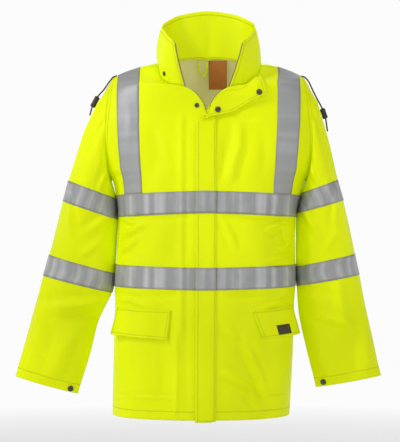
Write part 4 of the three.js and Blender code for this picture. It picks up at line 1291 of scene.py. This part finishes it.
def label_points():
    """A slightly bowed label, turned to lie along the back's inside."""
    u, v = np.meshgrid(np.linspace(-0.5, 0.5, 12), np.linspace(-0.5, 0.5, 20))
    bow = 1.92 * (0.25 - u ** 2) + 0.8 * np.sin((v + 0.5) * 2.4)
    across = u * LABEL_SIZE[0]
    x = across * math.cos(LABEL_TURN) + bow * math.sin(LABEL_TURN)
    y = across * math.sin(LABEL_TURN) - bow * math.cos(LABEL_TURN)
    return np.stack([x, y, v * LABEL_SIZE[1]], axis=-1) + LABEL_PLACE


label_cloth = plain_material("label_cloth", (0.56, 0.185, 0.035), (0.44, 0.15, 0.03), 0.75, scale=420)
cloth_piece(
    "neck_label_cloth", "neck_label", [label_points()], TO_FRONT, 0.5, [label_cloth], "label_cloth",
)

# Hanger loop: a narrow strip of cloth inside the back of the neck
LOOP_ROUTE = [
    (-20, 79.2, 22), (-22.5, 79.2, 10), (-23.5, 80.4, 0), (-18, 81.4, -11),
    (-11, 81.9, -15), (-6, 81.4, -9), (-4, 80.5, 2), (-3, 79.4, 22),
]
LOOP_WIDTH = 5.2
LOOP_CLOTH = 1.2


def loop_points():
    line = smooth_route(LOOP_ROUTE, 60) / MM
    side = unit(np.cross(np.gradient(line, axis=0), [0.0, 1.0, 0.0]))
    strip = np.stack([line + side * LOOP_WIDTH * t for t in np.linspace(-0.5, 0.5, 5)], axis=1)
    return strip - [0, LOOP_CLOTH / 2, 0]


loop_cloth = plain_material("loop_cloth", YELLOW[:3], YELLOW_DEEP[:3], 0.55)
cloth_piece(
    "hanger_loop_cloth", "hanger_loop", [loop_points()], TO_FRONT, LOOP_CLOTH, [loop_cloth],
)

# Press studs: name, what they sit on, x, z and radius
STUD_SEAT = 0.1
CAP = [
    (0, 1.55), (0.35, 1.6), (0.52, 1.75), (0.62, 2.2), (0.74, 2.5), (0.86, 2.45),
    (0.96, 2.0), (1, 1.2), (1, 0.2), (0.97, 0), (0, 0),
]
STUDS = [
    ("chin_inner", chin, 20, -107, 6.8),
    ("chin_outer", chin, 113, -67, 6.8),
    ("neck", fronts[-1], -27, -97, 5.4),
    ("collar", collar, -101, -22, 5.4),
    ("cuff_right", sleeves[-1], -316, -740, 6.8),
    ("cuff_left", sleeves[1], 262, -725, 6.8),
]
stud_metal = plain_material("stud_metal", (0.13, 0.125, 0.11), (0.07, 0.065, 0.055), 0.32, 0.9, 160)
for name, grid, x, z, radius in STUDS:
    place, normal = laid_at(tree_of(grid), x, z)
    profile = [(r * radius, h) for r, h in CAP]
    place = place + normal * STUD_SEAT
    lathe_piece(f"press_stud_{name}", profile, place, normal, stud_metal, f"stud_{name}", "stud_metal")

# Zip: a tape behind each front edge and teeth past it, on up the collar's edge
ZIP_COLUMNS = np.array([0.0, 0.25, 0.6])
ZIP_ON_COLLAR = [0, 2, 4]
ZIP_TAPE = 0.6
ZIP_GAP = 0.9
TOOTH = np.array([3.2, 1.7, 2.2])
TOOTH_PITCH = 2.7
TOOTH_OUT = 0.7


def zip_points(side):
    """The zip's tape from the hem to the collar's top: its edge, its middle and its inner side."""
    grid = panel(FRONT, side, between(LEVEL_PLACES, 0, LEVEL["neckFront"]), ZIP_COLUMNS)
    lower = lifted(grid, body_outward(grid), -CLOTH - ZIP_GAP)
    grid = (collar if side < 0 else collar[:, ::-1])[1:, ZIP_ON_COLLAR]
    out = collar_out[1:, ZIP_ON_COLLAR] * [-1, 1, 1]
    return np.concatenate([lower, lifted(grid, out, -COLLAR_CLOTH - ZIP_GAP)])


def make_teeth(side, name, strip):
    """A row of teeth along the tape's edge."""
    steps = np.linalg.norm(np.diff(strip[:, 0], axis=0), axis=1).cumsum()
    steps = np.concatenate([[0], steps])

    def at(s, column):
        return np.array([np.interp(s, steps, strip[:, column, i]) for i in range(3)])

    bm = bmesh.new()
    for s in np.arange(2 + side * 0.7, steps[-1] - 1, TOOTH_PITCH):
        along, away = unit(at(s + 2, 0) - at(s, 0)), unit(at(s, 0) - at(s, 1))
        axes = np.stack([away, along, unit(np.cross(along, away))], axis=1) * TOOTH
        for vert in bmesh.ops.create_cube(bm, size=1)["verts"]:
            vert.co = Vector((at(s, 0) + away * TOOTH_OUT + axes @ np.array(vert.co)) * MM)
    bmesh.ops.recalc_face_normals(bm, faces=bm.faces)
    hold(mesh_piece(f"zip_teeth_{name}", bm, [zip_metal], smooth=False), "zip")


zip_cloth = plain_material("zip_tape", (0.42, 0.47, 0.05), (0.34, 0.38, 0.04), 0.8, scale=300)
zip_metal = plain_material("zip_teeth", (0.34, 0.22, 0.12), (0.26, 0.2, 0.14), 0.4, scale=200)
for side, name in SIDES.items():
    strip = zip_points(side)
    cloth_piece(
        f"zip_tape_{name}", f"zip_{name}", [strip], TO_FRONT, ZIP_TAPE, [zip_cloth], "zip",
    )
    make_teeth(side, name, strip)

# Floor and light
FLOOR_Z = -1.25
FLOOR_RADIUS = 30
LIGHTS = [  # name, place, what it points at, size, watts
    ("key", (-2.6, -1.6, 1.9), (0, 0, -0.35), 0.9, 46),
    ("fill", (1.5, -3.4, 0.3), (0, 0, -0.4), 1.8, 10),
    ("top", (0.3, -0.5, 2.4), (0, 0, -0.2), 1.2, 16),
    ("behind", (0.6, 2.8, 1.2), (0, 0, -0.3), 1.6, 26),
]


def floor_material():
    """Pale near the jacket and white light further out."""
    nodes = Nodes(bpy.data.materials.new("studio_floor"))
    away = nodes.add("VectorMath", {0: nodes.place()}, operation="LENGTH").outputs["Value"]
    glow = nodes.ramp(away, 1.6, 4.2)
    nodes.set(Base_Color=nodes.mix(glow, (0.86, 0.86, 0.86, 1), (0, 0, 0, 1)))
    nodes.set(Emission_Color=(1, 1, 1, 1), Emission_Strength=nodes.times(glow, 0.97))
    nodes.set(Roughness=1.0, Specular_IOR_Level=0.0)
    return nodes.owner


def make_floor():
    """A flat disc, its points closer together near the middle."""
    bm = bmesh.new()
    for vert in bmesh.ops.create_grid(bm, x_segments=40, y_segments=40, size=1)["verts"]:
        far = max(abs(vert.co.x), abs(vert.co.y)) ** 2 * FLOOR_RADIUS
        turn = math.atan2(vert.co.y, vert.co.x)
        vert.co = (far * math.cos(turn), far * math.sin(turn), FLOOR_Z)
    bm.normal_update()
    mesh_piece("studio_floor", bm, [floor_material()])


def make_light(name, place, target, size, watts):
    data = bpy.data.lights.new(name, "AREA")
    data.size = size
    data.energy = watts
    light = linked(name, data)
    light.location = place
    light.rotation_euler = (Vector(target) - Vector(place)).to_track_quat("-Z", "Y").to_euler()


def make_world():
    """White round the horizon, dimmer above and below."""
    scene.world = bpy.data.worlds.new("studio")
    nodes = Nodes(scene.world, "Background")
    way = nodes.add("TexCoord", {}).outputs["Generated"]
    steep = nodes.math("ABSOLUTE", nodes.add("SeparateXYZ", {0: way}).outputs["Z"])
    nodes.set(Color=(1, 1, 1, 1), Strength=nodes.ramp(steep, 0.2, 0.45, 0.97, 0.22))


make_floor()
for row in LIGHTS:
    make_light(*row)
make_world()
scene.view_settings.view_transform = "Standard"
scene.view_settings.look = "None"
scene.view_settings.exposure = 0.0
